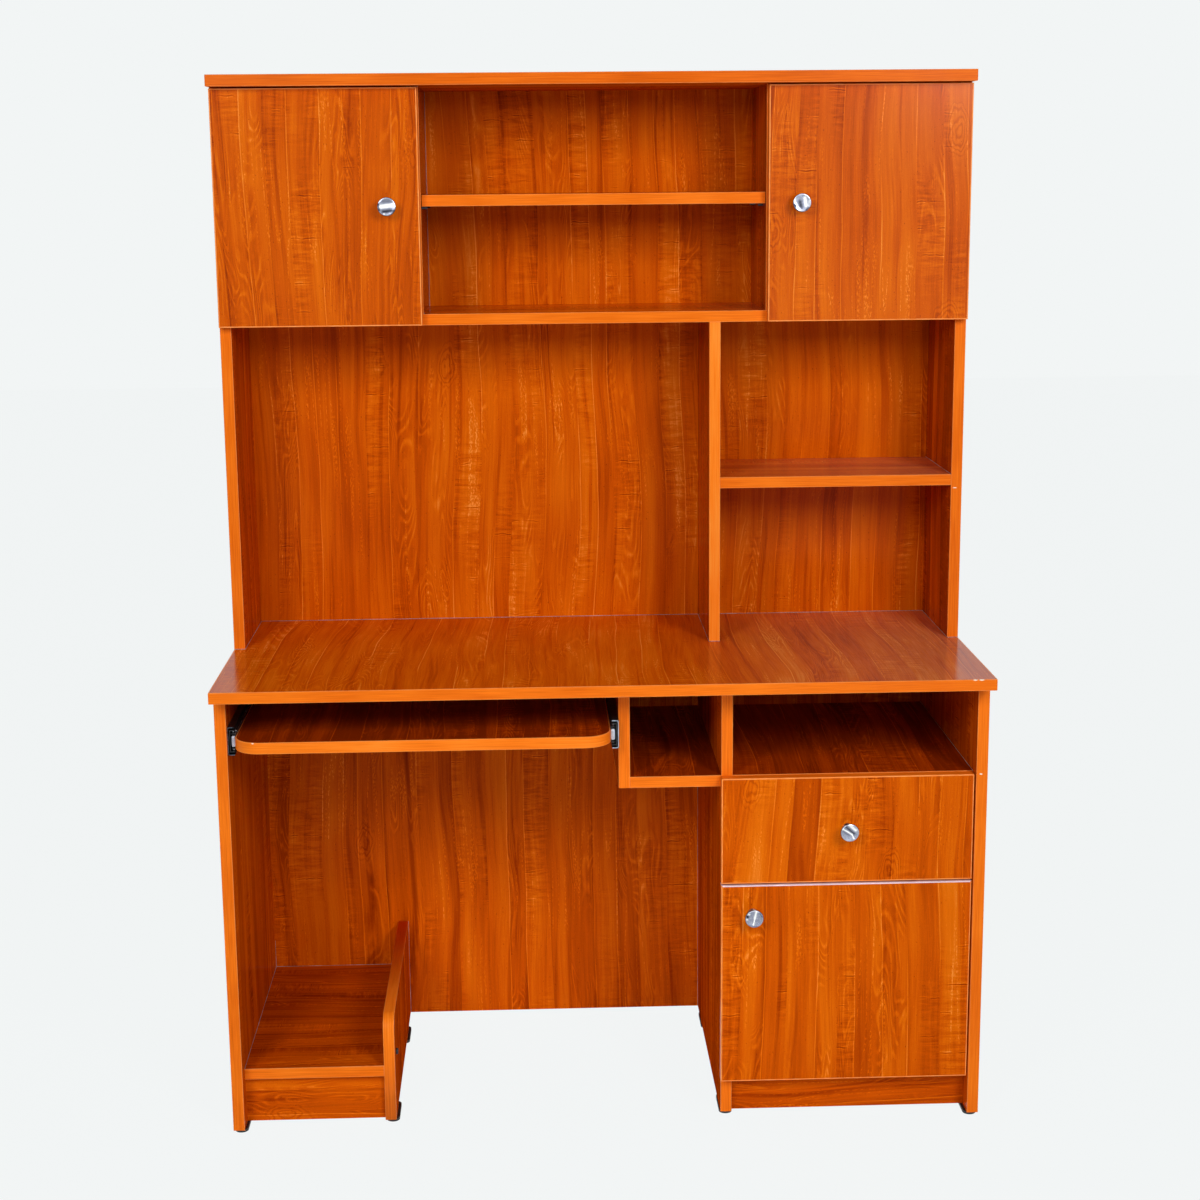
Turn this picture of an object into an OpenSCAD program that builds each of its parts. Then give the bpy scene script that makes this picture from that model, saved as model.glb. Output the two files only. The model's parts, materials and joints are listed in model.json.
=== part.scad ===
// Study desk with a keyboard tray, a drawer, a pedestal cupboard, a computer bay and a hutch.
// Millimetres, +Z up. The origin lies on the floor, under the middle of the desk's outline.
// X runs to the right, Y from the worktop's front edge to the back.

/* [Desk] */
// Width over the side panels, and of the worktop
desk_w = 1200; // [1160:5:1300]
// Depth of the worktop
desk_d = 530; // [510:5:600]
// Height of the worktop's upper face above the floor
desk_h = 738.5; // [730:0.5:780]
// Thickness of the laminated boards
board_t = 18; // [17:0.5:19]
// Thickness of the back boards
back_t = 15; // [14:0.5:18]
// How far the worktop reaches past the side panels' front edges
worktop_reach = 48; // [40:1:55]

/* [Glides] */
// Height of the glides that the panels stand on
glide_h = 4.5; // [3:0.5:8]
// Width of a glide
glide_w = 21; // [14:1:24]
// Length of a glide
glide_l = 68; // [50:1:76]
// How far a glide is set in from the ends of its panel
glide_inset = 3; // [1:1:20]
// How far the glide at the partition's back is set in
partition_glide_inset = 26; // [3:1:60]
// How far the glide at the divider's back is set in
divider_glide_inset = 62; // [3:1:90]
// How far a glide is shifted from the middle of a side panel or of the divider
glide_shift = 3; // [0:0.5:3]

/* [Computer bay] */
// Clear width between the left side panel and the low divider
bay_w = 223; // [210:1:240]
// Height of the divider
divider_h = 175.5; // [160:0.5:220]
// Radius of the divider's upper front corner
divider_r = 29; // [15:1:40]
// Height of the plinths, from the glides to the lowest shelves
plinth_h = 75.5; // [68:0.5:84]
// How far the plinths stand back from the shelf's front
plinth_inset = 10; // [5:1:25]

/* [Pedestal] */
// Clear width between the partition and the right side panel
pedestal_w = 380; // [360:1:400]
// Height of the drawer front
drawer_front_h = 172.5; // [160:0.5:190]
// How far the fronts stand back from the side panel's front edge
front_set = 6; // [4:0.5:8]
// Gap between the back of a door and the boards that it covers
door_gap = 2; // [1.5:0.5:3]
// Gap beside and between the fronts
side_gap = 1.5; // [1.5:0.5:2.5]
// How far the lower door reaches below its shelf
door_lap = 14; // [8:1:17]

/* [Cubby] */
// Clear width of the cubby beside the partition
cubby_w = 143.5; // [135:0.5:155]
// Clear height of the cubby, under the worktop
cubby_h = 148; // [144:0.5:156]

/* [Keyboard tray] */
// How far the tray's front edge stands back from the worktop's
tray_set = 12; // [8:1:30]
// Distance from the tray to the back panel
tray_rear = 123; // [100:1:160]
// Clear height between the tray and the worktop
tray_drop = 64.5; // [58:0.5:70]
// Radius of the tray's front corners
tray_r = 42; // [20:1:50]
// Distance from the side panel's front edge to the tray's slides
tray_slide_set = 10; // [6:1:16]
// Distance from the tray's slides to the back panel
tray_slide_rear = 107; // [90:1:140]

/* [Drawer] */
// Thickness of the drawer box's sides and back
box_t = 15; // [12:0.5:16]
// Height of the drawer box's sides
box_h = 110; // [90:1:118]
// Distance from the drawer box to the back panel
box_rear = 23; // [15:1:60]
// Height of the box above the lower edge of the drawer front
box_lift = 25; // [16:1:30]
// Thickness of the drawer's bottom panel
bottom_t = 4; // [3:0.5:6]
// Height of the bottom panel's groove above the sides' lower edge
groove_lift = 9; // [7:1:14]
// Depth of the groove
groove_d = 6; // [4:0.5:7]
// Distance from the pedestal's front edges to the drawer's slides
drawer_slide_set = 2; // [1:0.5:6]
// Distance from the drawer's slides to the back panel
drawer_slide_rear = 39; // [30:1:70]
// Height of the drawer's knob above the middle of the drawer front
drawer_knob_lift = 2; // [-20:1:20]

/* [Ball-bearing slides] */
// Height of the slides' outer members
slide_h = 45; // [42:0.5:46]
// Thickness of a closed slide, from the cabinet to the drawer
slide_t = 12.7; // [12.5:0.1:14]
// Thickness of the slides' steel
steel_t = 1.2; // [1:0.1:1.4]
// Diameter of the balls
ball_d = 3.2; // [3:0.1:3.5]
// Running clearance between a ball and each of its races
ball_gap = 0.3; // [0.2:0.05:0.4]

/* [Hutch] */
// Height of the hutch above the worktop
hutch_h = 917; // [880:1:960]
// Depth of the hutch's side panels
hutch_d = 234; // [225:1:250]
// How far the top panel reaches past the side panels' front edges
top_reach = 42; // [35:1:60]
// Clear height of the cabinets
cabinet_h = 354.5; // [330:0.5:380]
// Clear width of the middle compartment
middle_w = 549; // [520:1:580]
// Clear height under the shelf at the right
shelf_rise = 256; // [230:1:300]
// Height of the adjustable shelf above the cabinets' floor
middle_rise = 169; // [140:1:200]
// How far the upper doors end above the cabinet floor's underside
upper_door_lift = 1; // [0:0.5:4]
// Gap at each end of the adjustable shelf
shelf_play = 1; // [0.5:0.25:2]
// Radius of the shelf pins
pin_r = 2.5; // [2:0.1:3]
// How far a shelf pin stands out of the partition
pin_out = 8; // [6:0.5:10]

/* [Knobs] */
// Diameter of the knobs
knob_d = 29; // [24:0.5:34]
// How far the knobs stand out
knob_l = 25; // [20:0.5:26]
// Diameter of a knob's neck
neck_d = 13; // [11:0.5:16]
// Distance from a door's free edge to its knob
knob_inset = 50; // [35:1:70]
// Height of the upper knobs above the doors' lower edges
upper_knob_z = 187; // [120:1:240]
// Distance from the lower door's upper edge to its knob
lower_knob_drop = 47; // [35:1:70]
// Radius of the knob's screw
knob_screw_r = 2; // [1.5:0.1:2.2]

/* [Hinges] */
// Diameter of the hinge cups
cup_d = 35; // [34:0.5:36]
// Depth of the hinge cups
cup_depth = 11.5; // [10.5:0.5:12.5]
// Distance from the door's edge to the cup's hole
cup_edge = 5; // [4:0.5:6]
// Thickness of the cup's sheet metal
cup_t = 1.2; // [0.8:0.1:1.5]
// Distance from a door's end to its nearest hinge
hinge_inset = 90; // [70:1:110]
// Height of the hinge's mounting plate
plate_h = 52; // [44:1:60]
// Distance from the cabinet's front edge to the mounting plate's middle
plate_back = 37; // [34:1:42]
// Clearance left where the hinge's linkage is opened
link_gap = 0.3; // [0.2:0.05:0.5]

/* [Fittings] */
// Radius of the cam locks
cam_r = 7.5; // [7:0.1:7.5]
// Distance from the end of a board to its cam lock's centre
cam_reach = 24; // [22:1:30]
// Radius of the cam bolts
bolt_r = 3.5; // [3:0.1:3.5]
// Radius of the dowels
dowel_r = 4; // [3.5:0.1:4]
// Length of a dowel's half in the board's end
dowel_reach = 21; // [18:1:24]
// Distance from a cam bolt to its dowel
dowel_pitch = 32; // [28:1:34]
// Radius of the screws through the back boards
screw_r = 2; // [1.5:0.1:2]
// Length of those screws
screw_l = 40; // [35:1:45]
// Clearance round a fitting in its hole
fit_gap = 0.05; // [0.02:0.01:0.1]

/* [Hidden] */

LAMINATE = [0.78, 0.33, 0.04];
BIRCH = [0.85, 0.72, 0.5];
STEEL = [0.75, 0.75, 0.76];
BLACK = [0.08, 0.08, 0.09];
ZINC = [0.62, 0.62, 0.64];

// Faces and heights that the boards share
half_w = desk_w / 2;
side_x = half_w - board_t;
back_y = desk_d - back_t;
under_z = desk_h - board_t;
side_y = worktop_reach;
fronts_y = side_y + front_set;
carcass_y = fronts_y + board_t + door_gap;
partition_x = side_x - pedestal_w;
cubby_x = partition_x - board_t - cubby_w;
divider_x = bay_w - side_x;
low_shelf_z = glide_h + plinth_h;
cubby_z = under_z - cubby_h;
plinth_y = carcass_y + plinth_inset;

// Fronts of the pedestal
front_x0 = partition_x - board_t - side_gap;
front_x1 = side_x - side_gap;
drawer_z0 = cubby_z - drawer_front_h;
door_z0 = low_shelf_z - door_lap;
door_z1 = drawer_z0 - 2 * side_gap;

// Keyboard tray
tray_z1 = under_z - tray_drop;
tray_z0 = tray_z1 - board_t;
tray_x0 = slide_t - side_x;
tray_x1 = cubby_x - board_t - slide_t;
tray_d = back_y - tray_rear - tray_set;
tray_slide_y = side_y + tray_slide_set;
tray_slide_l = back_y - tray_slide_rear - tray_slide_y;
tray_slide_z = (tray_z0 + tray_z1) / 2;

// Drawer box
box_x0 = partition_x + slide_t;
box_x1 = side_x - slide_t;
box_y0 = fronts_y + board_t;
box_l = back_y - box_rear - box_y0;
box_z0 = drawer_z0 + box_lift;
drawer_slide_y = carcass_y + drawer_slide_set;
drawer_slide_l = back_y - drawer_slide_rear - drawer_slide_y;
drawer_slide_z = box_z0 + box_h / 2;
groove_z = box_z0 + groove_lift;
groove_play = 0.1;

// Hutch
hutch_z = desk_h + hutch_h;
top_z = hutch_z - board_t;
hutch_y = desk_d - hutch_d;
cabinet_z = top_z - cabinet_h;
middle_x = middle_w / 2;
upper_y1 = hutch_y - door_gap;
upper_y0 = upper_y1 - board_t;
upper_z0 = cabinet_z - board_t + upper_door_lift;
upper_z1 = top_z - door_gap;
upper_x0 = middle_x + side_gap;
upper_x1 = half_w - side_gap;
shelf_z = desk_h + shelf_rise;
middle_z = cabinet_z + middle_rise;
shelf_front = 4;
shelf_rear = 2;

// Cross-section of a slide: distances from the cabinet, and half heights of the flanges
race = ball_d + 2 * ball_gap;
outer_v = slide_h / 2;
middle_v = outer_v - steel_t - race;
inner_v = middle_v - steel_t - race;
web_gap = 1.8;
rim_gap = 0.5;
middle_u0 = steel_t + web_gap;
middle_u1 = slide_t - steel_t - rim_gap;
inner_u = middle_u0 + steel_t + web_gap;
outer_u = middle_u1 - rim_gap;
ball_u = (inner_u + outer_u) / 2;
cage_t = 0.8;
cage_slack = 0.2;
cage_set = 6;
cage_share = 0.44;
row_balls = 5;

// Fittings
half_t = board_t / 2;
half_back = back_t / 2;
cut = 1;
hole_slack = 0.5;
face_depth = half_t - hole_slack;
cam_extra = 4;
cam_sink = 0.3;
notch_depth = 2;
slot_w = 1.4;
slot_depth = 3;
bolt_neck = 3;
bolt_play = 0.3;
screw_head_r = 2 * screw_r;
screw_sink = 0.2;
screw_rim = 0.6;
screw_tip_l = 5;
screw_tip_r = 0.3;
joint_inset = 50;
far_inset = 90;

// Facets of small and of large round forms
SMALL_ROUND = 24;
LARGE_ROUND = 64;

// Directions
RIGHT = [1, 0, 0];
LEFT = [-1, 0, 0];
BACK = [0, 1, 0];
FRONT = [0, -1, 0];
UP = [0, 0, 1];
DOWN = [0, 0, -1];

// Cam joints. Each holds the bolt's point on the joint, the way into the board's end, the way to
// the face with the cam lock, half the board's thickness, and the way to the dowel.
function along_y(x, z, into, cam, y0, y1) = [
    [[x, y0, z], into, cam, half_t, BACK],
    [[x, y1, z], into, cam, half_t, FRONT]
];
function lying(x0, x1, z, y0, y1, cam) = concat(
    along_y(x0, z, RIGHT, cam, y0, y1),
    along_y(x1, z, LEFT, cam, y0, y1)
);
function upright_back(x, into, zs) = [
    for (z = zs) [[x, desk_d - half_back, z], into, BACK, half_back, UP]
];
function plinth_end(x, into) = [
    [[x, plinth_y + half_t, glide_h + plinth_h / 2 - dowel_pitch / 2], into, BACK, half_t, UP]
];

low_y0 = carcass_y + joint_inset;
low_y1 = back_y - joint_inset;
ped_y0 = carcass_y + far_inset;
ped_y1 = back_y - far_inset;
hutch_y0 = hutch_y + joint_inset;
hutch_y1 = desk_d - joint_inset;
cab_y1 = back_y - joint_inset;
low_back_z = [low_shelf_z + far_inset, cubby_z - far_inset];
high_back_z = [desk_h + far_inset, shelf_z + far_inset, cabinet_z + far_inset];

JOINTS = concat(
    along_y(-side_x - half_t, under_z, DOWN, RIGHT, side_y + far_inset, desk_d - far_inset),
    along_y(side_x + half_t, under_z, DOWN, LEFT, side_y + far_inset, desk_d - far_inset),
    along_y(partition_x - half_t, under_z, DOWN, RIGHT, low_y0, low_y1),
    along_y(cubby_x - half_t, under_z, DOWN, RIGHT, low_y0, low_y1),
    lying(cubby_x, partition_x - board_t, cubby_z - half_t, low_y0, low_y1, DOWN),
    lying(partition_x, side_x, cubby_z - half_t, ped_y0, ped_y1, DOWN),
    lying(partition_x, side_x, low_shelf_z + half_t, ped_y0, ped_y1, DOWN),
    lying(-side_x, divider_x, low_shelf_z + half_t, ped_y0, ped_y1, DOWN),
    plinth_end(-side_x, RIGHT),
    plinth_end(divider_x, LEFT),
    plinth_end(partition_x, RIGHT),
    plinth_end(side_x, LEFT),
    upright_back(-side_x, RIGHT, low_back_z),
    upright_back(side_x, LEFT, low_back_z),
    along_y(-side_x - half_t, desk_h, UP, RIGHT, hutch_y0, hutch_y1),
    along_y(side_x + half_t, desk_h, UP, LEFT, hutch_y0, hutch_y1),
    along_y(partition_x - half_t, desk_h, UP, RIGHT, hutch_y0, cab_y1),
    along_y(partition_x - half_t, cabinet_z - board_t, DOWN, RIGHT, hutch_y0, cab_y1),
    lying(partition_x, side_x, shelf_z + half_t, hutch_y0, cab_y1, DOWN),
    lying(-side_x, side_x, cabinet_z - half_t, hutch_y0, cab_y1, UP),
    along_y(-middle_x - half_t, cabinet_z, UP, LEFT, hutch_y0, cab_y1),
    along_y(middle_x + half_t, cabinet_z, UP, RIGHT, hutch_y0, cab_y1),
    along_y(-middle_x - half_t, top_z, DOWN, LEFT, hutch_y0, cab_y1),
    along_y(middle_x + half_t, top_z, DOWN, RIGHT, hutch_y0, cab_y1),
    along_y(-side_x - half_t, top_z, DOWN, RIGHT, hutch_y0, hutch_y1),
    along_y(side_x + half_t, top_z, DOWN, LEFT, hutch_y0, hutch_y1),
    upright_back(-side_x, RIGHT, high_back_z),
    upright_back(side_x, LEFT, high_back_z)
);

// Shares of a board's length at which its two or three screws stand
PAIR = [0.25, 0.7];
TRIPLE = [0.2, 0.45, 0.7];

// Screws from behind, as their X and Z on the back boards
SCREWS = concat(
    [for (k = PAIR) [divider_x + half_t, glide_h + k * divider_h]],
    [for (k = TRIPLE) [partition_x - half_t, k * under_z]],
    [for (k = PAIR) [cubby_x - half_t, cubby_z + k * cubby_h]],
    [for (k = PAIR) [partition_x + k * pedestal_w, low_shelf_z + half_t]],
    [for (k = PAIR) [partition_x + k * pedestal_w, cubby_z - half_t]],
    [for (k = PAIR) [k * bay_w - side_x, low_shelf_z + half_t]],
    [for (k = TRIPLE) [partition_x - half_t, desk_h + k * (cabinet_z - desk_h)]],
    [for (k = PAIR) [partition_x + k * pedestal_w, shelf_z + half_t]],
    [for (s = [-1, 1], k = PAIR) [s * k * side_x, cabinet_z - half_t]],
    [for (s = [-1, 1], k = PAIR) [s * (middle_x + half_t), cabinet_z + k * cabinet_h]]
);

// True where a point lies in or on the box from lo to hi
function holds(p, lo, hi) =
    min([for (k = [0:2]) min(p[k] - lo[k], hi[k] - p[k])]) > -0.01;

// Hinges: height of each cup's centre
upper_hinge_z = [upper_z0 + hinge_inset, upper_z1 - hinge_inset];
lower_hinge_z = [door_z0 + hinge_inset, door_z1 - hinge_inset];
cup_x = cup_edge + cup_d / 2;
flange_t = 1;
flange_w = 16;
flange_l = 56;
flange_rim = 2;
hinge_screw_r = 3;
hinge_screw_h = 1.5;
hinge_screw_inset = 5;
link_l = 14;
link_tail = 6;
link_w = 10;
arm_w = 13;
arm_t = 9;
arm_tail = 16;
plate_t = 2.5;
plate_w = 18;

// Everything is drawn from the worktop's front edge and then centred
module placed() {
    translate([0, -desk_d / 2, 0]) children();
}

// Rod along a direction, from one distance to another
module rod(p, way, r, from, to, sides = SMALL_ROUND) {
    pitch = acos(way[2]);
    yaw = atan2(way[1], way[0]);
    translate(p)
        rotate([0, pitch, yaw])
        translate([0, 0, from])
        cylinder(r = r, h = to - from, $fn = sides);
}

function cam_at(j) = j[0] + cam_reach * j[1];
function dowel_at(j) = j[0] + dowel_pitch * j[4];

// Holes that one cam joint makes in the boards that it joins
module joint_holes(j) {
    rod(j[0], j[1], bolt_r, -face_depth, cam_reach);
    rod(cam_at(j), j[2], cam_r, -cam_extra, j[3] + cut);
    rod(dowel_at(j), j[1], dowel_r, -face_depth, dowel_reach + hole_slack);
}

module screw_hole(s) {
    rod([s[0], desk_d, s[1]], FRONT, screw_r + fit_gap, -cut, screw_l + hole_slack);
    rod([s[0], desk_d, s[1]], FRONT, screw_head_r + fit_gap, -cut, screw_head_r);
}

// A board from its lowest to its highest corner, bored for its fittings
module board(lo, hi) {
    difference() {
        translate(lo) cube(hi - lo);
        fitting_holes(lo, hi);
    }
}

module fitting_holes(lo, hi) {
    for (j = JOINTS)
        if (holds(j[0], lo, hi)) joint_holes(j);
    for (s = SCREWS)
        if (holds([s[0], back_y, s[1]], lo, hi)) screw_hole(s);
}

module worktop() {
    color(LAMINATE) placed() board([-half_w, 0, under_z], [half_w, desk_d, desk_h]);
}

module desk_side(x) {
    color(LAMINATE) placed() board([x, side_y, glide_h], [x + board_t, desk_d, under_z]);
}

module desk_side_left() {
    desk_side(-half_w);
}

module desk_side_right() {
    desk_side(side_x);
}

module pedestal_partition() {
    color(LAMINATE) placed()
        board([partition_x - board_t, carcass_y, glide_h], [partition_x, back_y, under_z]);
}

module lower_back_panel() {
    color(LAMINATE) placed() board([-side_x, back_y, glide_h], [side_x, desk_d, under_z]);
}

// Low divider with its upper front corner rounded
module cpu_divider() {
    lo = [divider_x, carcass_y, glide_h];
    hi = [divider_x + board_t, back_y, glide_h + divider_h];
    corner = [divider_x, carcass_y + divider_r, glide_h + divider_h - divider_r];
    color(LAMINATE) placed() difference() {
        translate(lo) cube(hi - lo);
        difference() {
            translate(corner - [cut, divider_r + cut, 0])
                cube([board_t + 2 * cut, divider_r + cut, divider_r + cut]);
            rod(corner, RIGHT, divider_r, -2 * cut, board_t + 2 * cut, LARGE_ROUND);
        }
        fitting_holes(lo, hi);
    }
}

module cpu_shelf() {
    color(LAMINATE) placed()
        board([-side_x, carcass_y, low_shelf_z], [divider_x, back_y, low_shelf_z + board_t]);
}

module cpu_plinth() {
    color(LAMINATE) placed()
        board([-side_x, plinth_y, glide_h], [divider_x, plinth_y + board_t, low_shelf_z]);
}

module cubby_wall() {
    color(LAMINATE) placed()
        board([cubby_x - board_t, carcass_y, cubby_z - board_t], [cubby_x, back_y, under_z]);
}

module cubby_floor() {
    color(LAMINATE) placed()
        board([cubby_x, carcass_y, cubby_z - board_t], [partition_x - board_t, back_y, cubby_z]);
}

module pedestal_shelf() {
    color(LAMINATE) placed()
        board([partition_x, carcass_y, cubby_z - board_t], [side_x, back_y, cubby_z]);
}

module pedestal_floor() {
    color(LAMINATE) placed()
        board([partition_x, carcass_y, low_shelf_z], [side_x, back_y, low_shelf_z + board_t]);
}

module pedestal_plinth() {
    color(LAMINATE) placed()
        board([partition_x, plinth_y, glide_h], [side_x, plinth_y + board_t, low_shelf_z]);
}

// Oblong glide under a panel's end
module glide(x, y) {
    long = (glide_l - glide_w) / 2;
    translate([x, y, 0]) union() {
        translate([-glide_w / 2, -long, 0]) cube([glide_w, 2 * long, glide_h]);
        for (s = [-1, 1])
            translate([0, s * long, 0]) cylinder(d = glide_w, h = glide_h, $fn = SMALL_ROUND);
    }
}

module glides() {
    front = glide_inset + glide_l / 2;
    color(BLACK) placed() {
        for (s = [-1, 1], y = [side_y + front, desk_d - back_t - front])
            glide(s * (side_x + half_t - glide_shift), y);
        for (y = [carcass_y + front, back_y - partition_glide_inset - glide_l / 2])
            glide(partition_x - half_t, y);
        for (y = [carcass_y + front, back_y - divider_glide_inset - glide_l / 2])
            glide(divider_x + half_t + glide_shift, y);
    }
}

module hutch_side(x) {
    color(LAMINATE) placed() board([x, hutch_y, desk_h], [x + board_t, desk_d, top_z]);
}

module hutch_side_left() {
    hutch_side(-half_w);
}

module hutch_side_right() {
    hutch_side(side_x);
}

module hutch_back_panel() {
    color(LAMINATE) placed() board([-side_x, back_y, desk_h], [side_x, desk_d, top_z]);
}

module hutch_top() {
    color(LAMINATE) placed()
        board([-half_w, hutch_y - top_reach, top_z], [half_w, desk_d, hutch_z]);
}

module cabinet_floor() {
    color(LAMINATE) placed()
        board([-side_x, hutch_y, cabinet_z - board_t], [side_x, back_y, cabinet_z]);
}

// Places of the four shelf pins, as their Y and the side that they stand on
PINS = [for (s = [-1, 1], y = [hutch_y0, cab_y1]) [s, y]];

module pin_rods(grow) {
    for (p = PINS)
        rod([p[0] * middle_x, p[1], middle_z - pin_r], [p[0], 0, 0], pin_r + grow, -pin_out, face_depth);
}

module cabinet_partition(x) {
    color(LAMINATE) placed() difference() {
        board([x, hutch_y, cabinet_z], [x + board_t, back_y, top_z]);
        pin_rods(fit_gap);
    }
}

module cabinet_partition_left() {
    cabinet_partition(-middle_x - board_t);
}

module cabinet_partition_right() {
    cabinet_partition(middle_x);
}

module hutch_divider() {
    color(LAMINATE) placed()
        board([partition_x - board_t, hutch_y, desk_h], [partition_x, back_y, cabinet_z - board_t]);
}

module hutch_shelf() {
    color(LAMINATE) placed()
        board([partition_x, hutch_y, shelf_z], [side_x, back_y, shelf_z + board_t]);
}

module middle_shelf() {
    color(LAMINATE) placed()
        translate([shelf_play - middle_x, hutch_y + shelf_front, middle_z])
        cube([middle_w - 2 * shelf_play, back_y - hutch_y - shelf_front - shelf_rear, board_t]);
}

module shelf_pins() {
    color(ZINC) placed() pin_rods(0);
}

// Tray with rounded front corners
module keyboard_tray() {
    w = tray_x1 - tray_x0;
    color(LAMINATE) placed() translate([tray_x0, tray_set, tray_z0]) union() {
        translate([0, tray_r, 0]) cube([w, tray_d - tray_r, board_t]);
        translate([tray_r, 0, 0]) cube([w - 2 * tray_r, tray_r, board_t]);
        for (x = [tray_r, w - tray_r])
            translate([x, tray_r, 0]) cylinder(r = tray_r, h = board_t, $fn = LARGE_ROUND);
    }
}

// Channel of a slide: its web lies between two distances from the cabinet, and its flanges run
// out from the web to a third
module channel(web0, web1, rim, v, length) {
    low = min(web0, rim);
    high = max(web1, rim);
    translate([web0, 0, -v]) cube([web1 - web0, length, 2 * v]);
    for (z = [-v, v - steel_t])
        translate([low, 0, z]) cube([high - low, length, steel_t]);
}

module outer_member(length) {
    channel(0, steel_t, outer_u, outer_v, length);
}

module middle_member(length) {
    channel(middle_u0, middle_u0 + steel_t, middle_u1, middle_v, length);
}

module inner_member(length) {
    channel(slide_t - steel_t, slide_t, inner_u, inner_v, length);
}

// Four rows of balls in their cages: the outer races use the rear half, the inner ones the front
module ball_cages(length) {
    for (s = [-1, 1]) {
        ball_row(s * (outer_v - steel_t - race / 2), (1 - cage_share) * length, length - cage_set);
        ball_row(s * (middle_v - steel_t - race / 2), cage_set, cage_share * length);
    }
}

module ball_row(v, y0, y1) {
    step = (y1 - y0 - ball_d) / (row_balls - 1);
    cage_h = ball_d - 2 * cage_slack;
    translate([ball_u - cage_t / 2, y0, v - cage_h / 2]) cube([cage_t, y1 - y0, cage_h]);
    for (k = [0:row_balls - 1])
        translate([ball_u, y0 + ball_d / 2 + k * step, v]) sphere(d = ball_d, $fn = SMALL_ROUND);
}

// A slide's left member lies at the cabinet's left wall, the right one is its mirror image
module at_left(x, y, z) {
    placed() translate([x, y, z]) children();
}

module at_right(x, y, z) {
    placed() translate([x, y, z]) mirror([1, 0, 0]) children();
}

module tray_slide_outer_left() {
    color(BLACK) at_left(-side_x, tray_slide_y, tray_slide_z) outer_member(tray_slide_l);
}

module tray_slide_outer_right() {
    color(BLACK) at_right(cubby_x - board_t, tray_slide_y, tray_slide_z) outer_member(tray_slide_l);
}

module tray_slide_middle_left() {
    color(BLACK) at_left(-side_x, tray_slide_y, tray_slide_z) middle_member(tray_slide_l);
}

module tray_slide_middle_right() {
    color(BLACK) at_right(cubby_x - board_t, tray_slide_y, tray_slide_z) middle_member(tray_slide_l);
}

module tray_slide_inner_left() {
    color(STEEL) at_left(-side_x, tray_slide_y, tray_slide_z) inner_member(tray_slide_l);
}

module tray_slide_inner_right() {
    color(STEEL) at_right(cubby_x - board_t, tray_slide_y, tray_slide_z) inner_member(tray_slide_l);
}

module tray_slide_balls() {
    color(STEEL) {
        at_left(-side_x, tray_slide_y, tray_slide_z) ball_cages(tray_slide_l);
        at_right(cubby_x - board_t, tray_slide_y, tray_slide_z) ball_cages(tray_slide_l);
    }
}

module drawer_slide_outer_left() {
    color(BLACK) at_left(partition_x, drawer_slide_y, drawer_slide_z) outer_member(drawer_slide_l);
}

module drawer_slide_outer_right() {
    color(BLACK) at_right(side_x, drawer_slide_y, drawer_slide_z) outer_member(drawer_slide_l);
}

module drawer_slide_middle_left() {
    color(BLACK) at_left(partition_x, drawer_slide_y, drawer_slide_z) middle_member(drawer_slide_l);
}

module drawer_slide_middle_right() {
    color(BLACK) at_right(side_x, drawer_slide_y, drawer_slide_z) middle_member(drawer_slide_l);
}

module drawer_slide_inner_left() {
    color(STEEL) at_left(partition_x, drawer_slide_y, drawer_slide_z) inner_member(drawer_slide_l);
}

module drawer_slide_inner_right() {
    color(STEEL) at_right(side_x, drawer_slide_y, drawer_slide_z) inner_member(drawer_slide_l);
}

module drawer_slide_balls() {
    color(STEEL) {
        at_left(partition_x, drawer_slide_y, drawer_slide_z) ball_cages(drawer_slide_l);
        at_right(side_x, drawer_slide_y, drawer_slide_z) ball_cages(drawer_slide_l);
    }
}

// Holes for a knob's screw through a front
module knob_hole(x, z, y0) {
    rod([x, y0, z], BACK, knob_screw_r + knob_hole_gap, -cut, board_t + cut);
}

// Knobs: their fronts' middles, and the sizes of their profile and screw
knob_foot = 2;
knob_rim = 2.5;
knob_crown = 1;
knob_thread = 0.6;
knob_hole_gap = 0.3;
knob_screw_h = 2.2;
knob_slot = 0.8;
SWELL = [15:15:90];
RIM = [-60:30:90];
drawer_knob = [(front_x0 + front_x1) / 2, fronts_y, drawer_z0 + drawer_front_h / 2 + drawer_knob_lift];
pedestal_knob = [front_x0 + knob_inset, fronts_y, door_z1 - lower_knob_drop];
left_knob = [-upper_x0 - knob_inset, upper_y0, upper_z0 + upper_knob_z];
right_knob = [upper_x0 + knob_inset, upper_y0, upper_z0 + upper_knob_z];

module drawer_front() {
    color(LAMINATE) placed() difference() {
        translate([front_x0, fronts_y, drawer_z0])
            cube([front_x1 - front_x0, board_t, drawer_front_h]);
        knob_hole(drawer_knob[0], drawer_knob[2], fronts_y);
    }
}

// Side of the drawer box, grooved for the bottom panel
module drawer_side(x, inner) {
    color(LAMINATE) placed() difference() {
        translate([x, box_y0, box_z0]) cube([box_t, box_l, box_h]);
        translate([inner, box_y0 - cut, groove_z])
            cube([groove_d, box_l + 2 * cut, bottom_t + 2 * groove_play]);
    }
}

module drawer_side_left() {
    drawer_side(box_x0, box_x0 + box_t - groove_d);
}

module drawer_side_right() {
    drawer_side(box_x1 - box_t, box_x1 - box_t);
}

module drawer_back() {
    z = groove_z + bottom_t + 2 * groove_play;
    color(LAMINATE) placed()
        translate([box_x0 + box_t, box_y0 + box_l - box_t, z])
        cube([box_x1 - box_x0 - 2 * box_t, box_t, box_z0 + box_h - z]);
}

module drawer_bottom() {
    inset = box_t - groove_d + groove_play;
    color(LAMINATE) placed()
        translate([box_x0 + inset, box_y0, groove_z + groove_play])
        cube([box_x1 - box_x0 - 2 * inset, box_l, bottom_t]);
}

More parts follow.
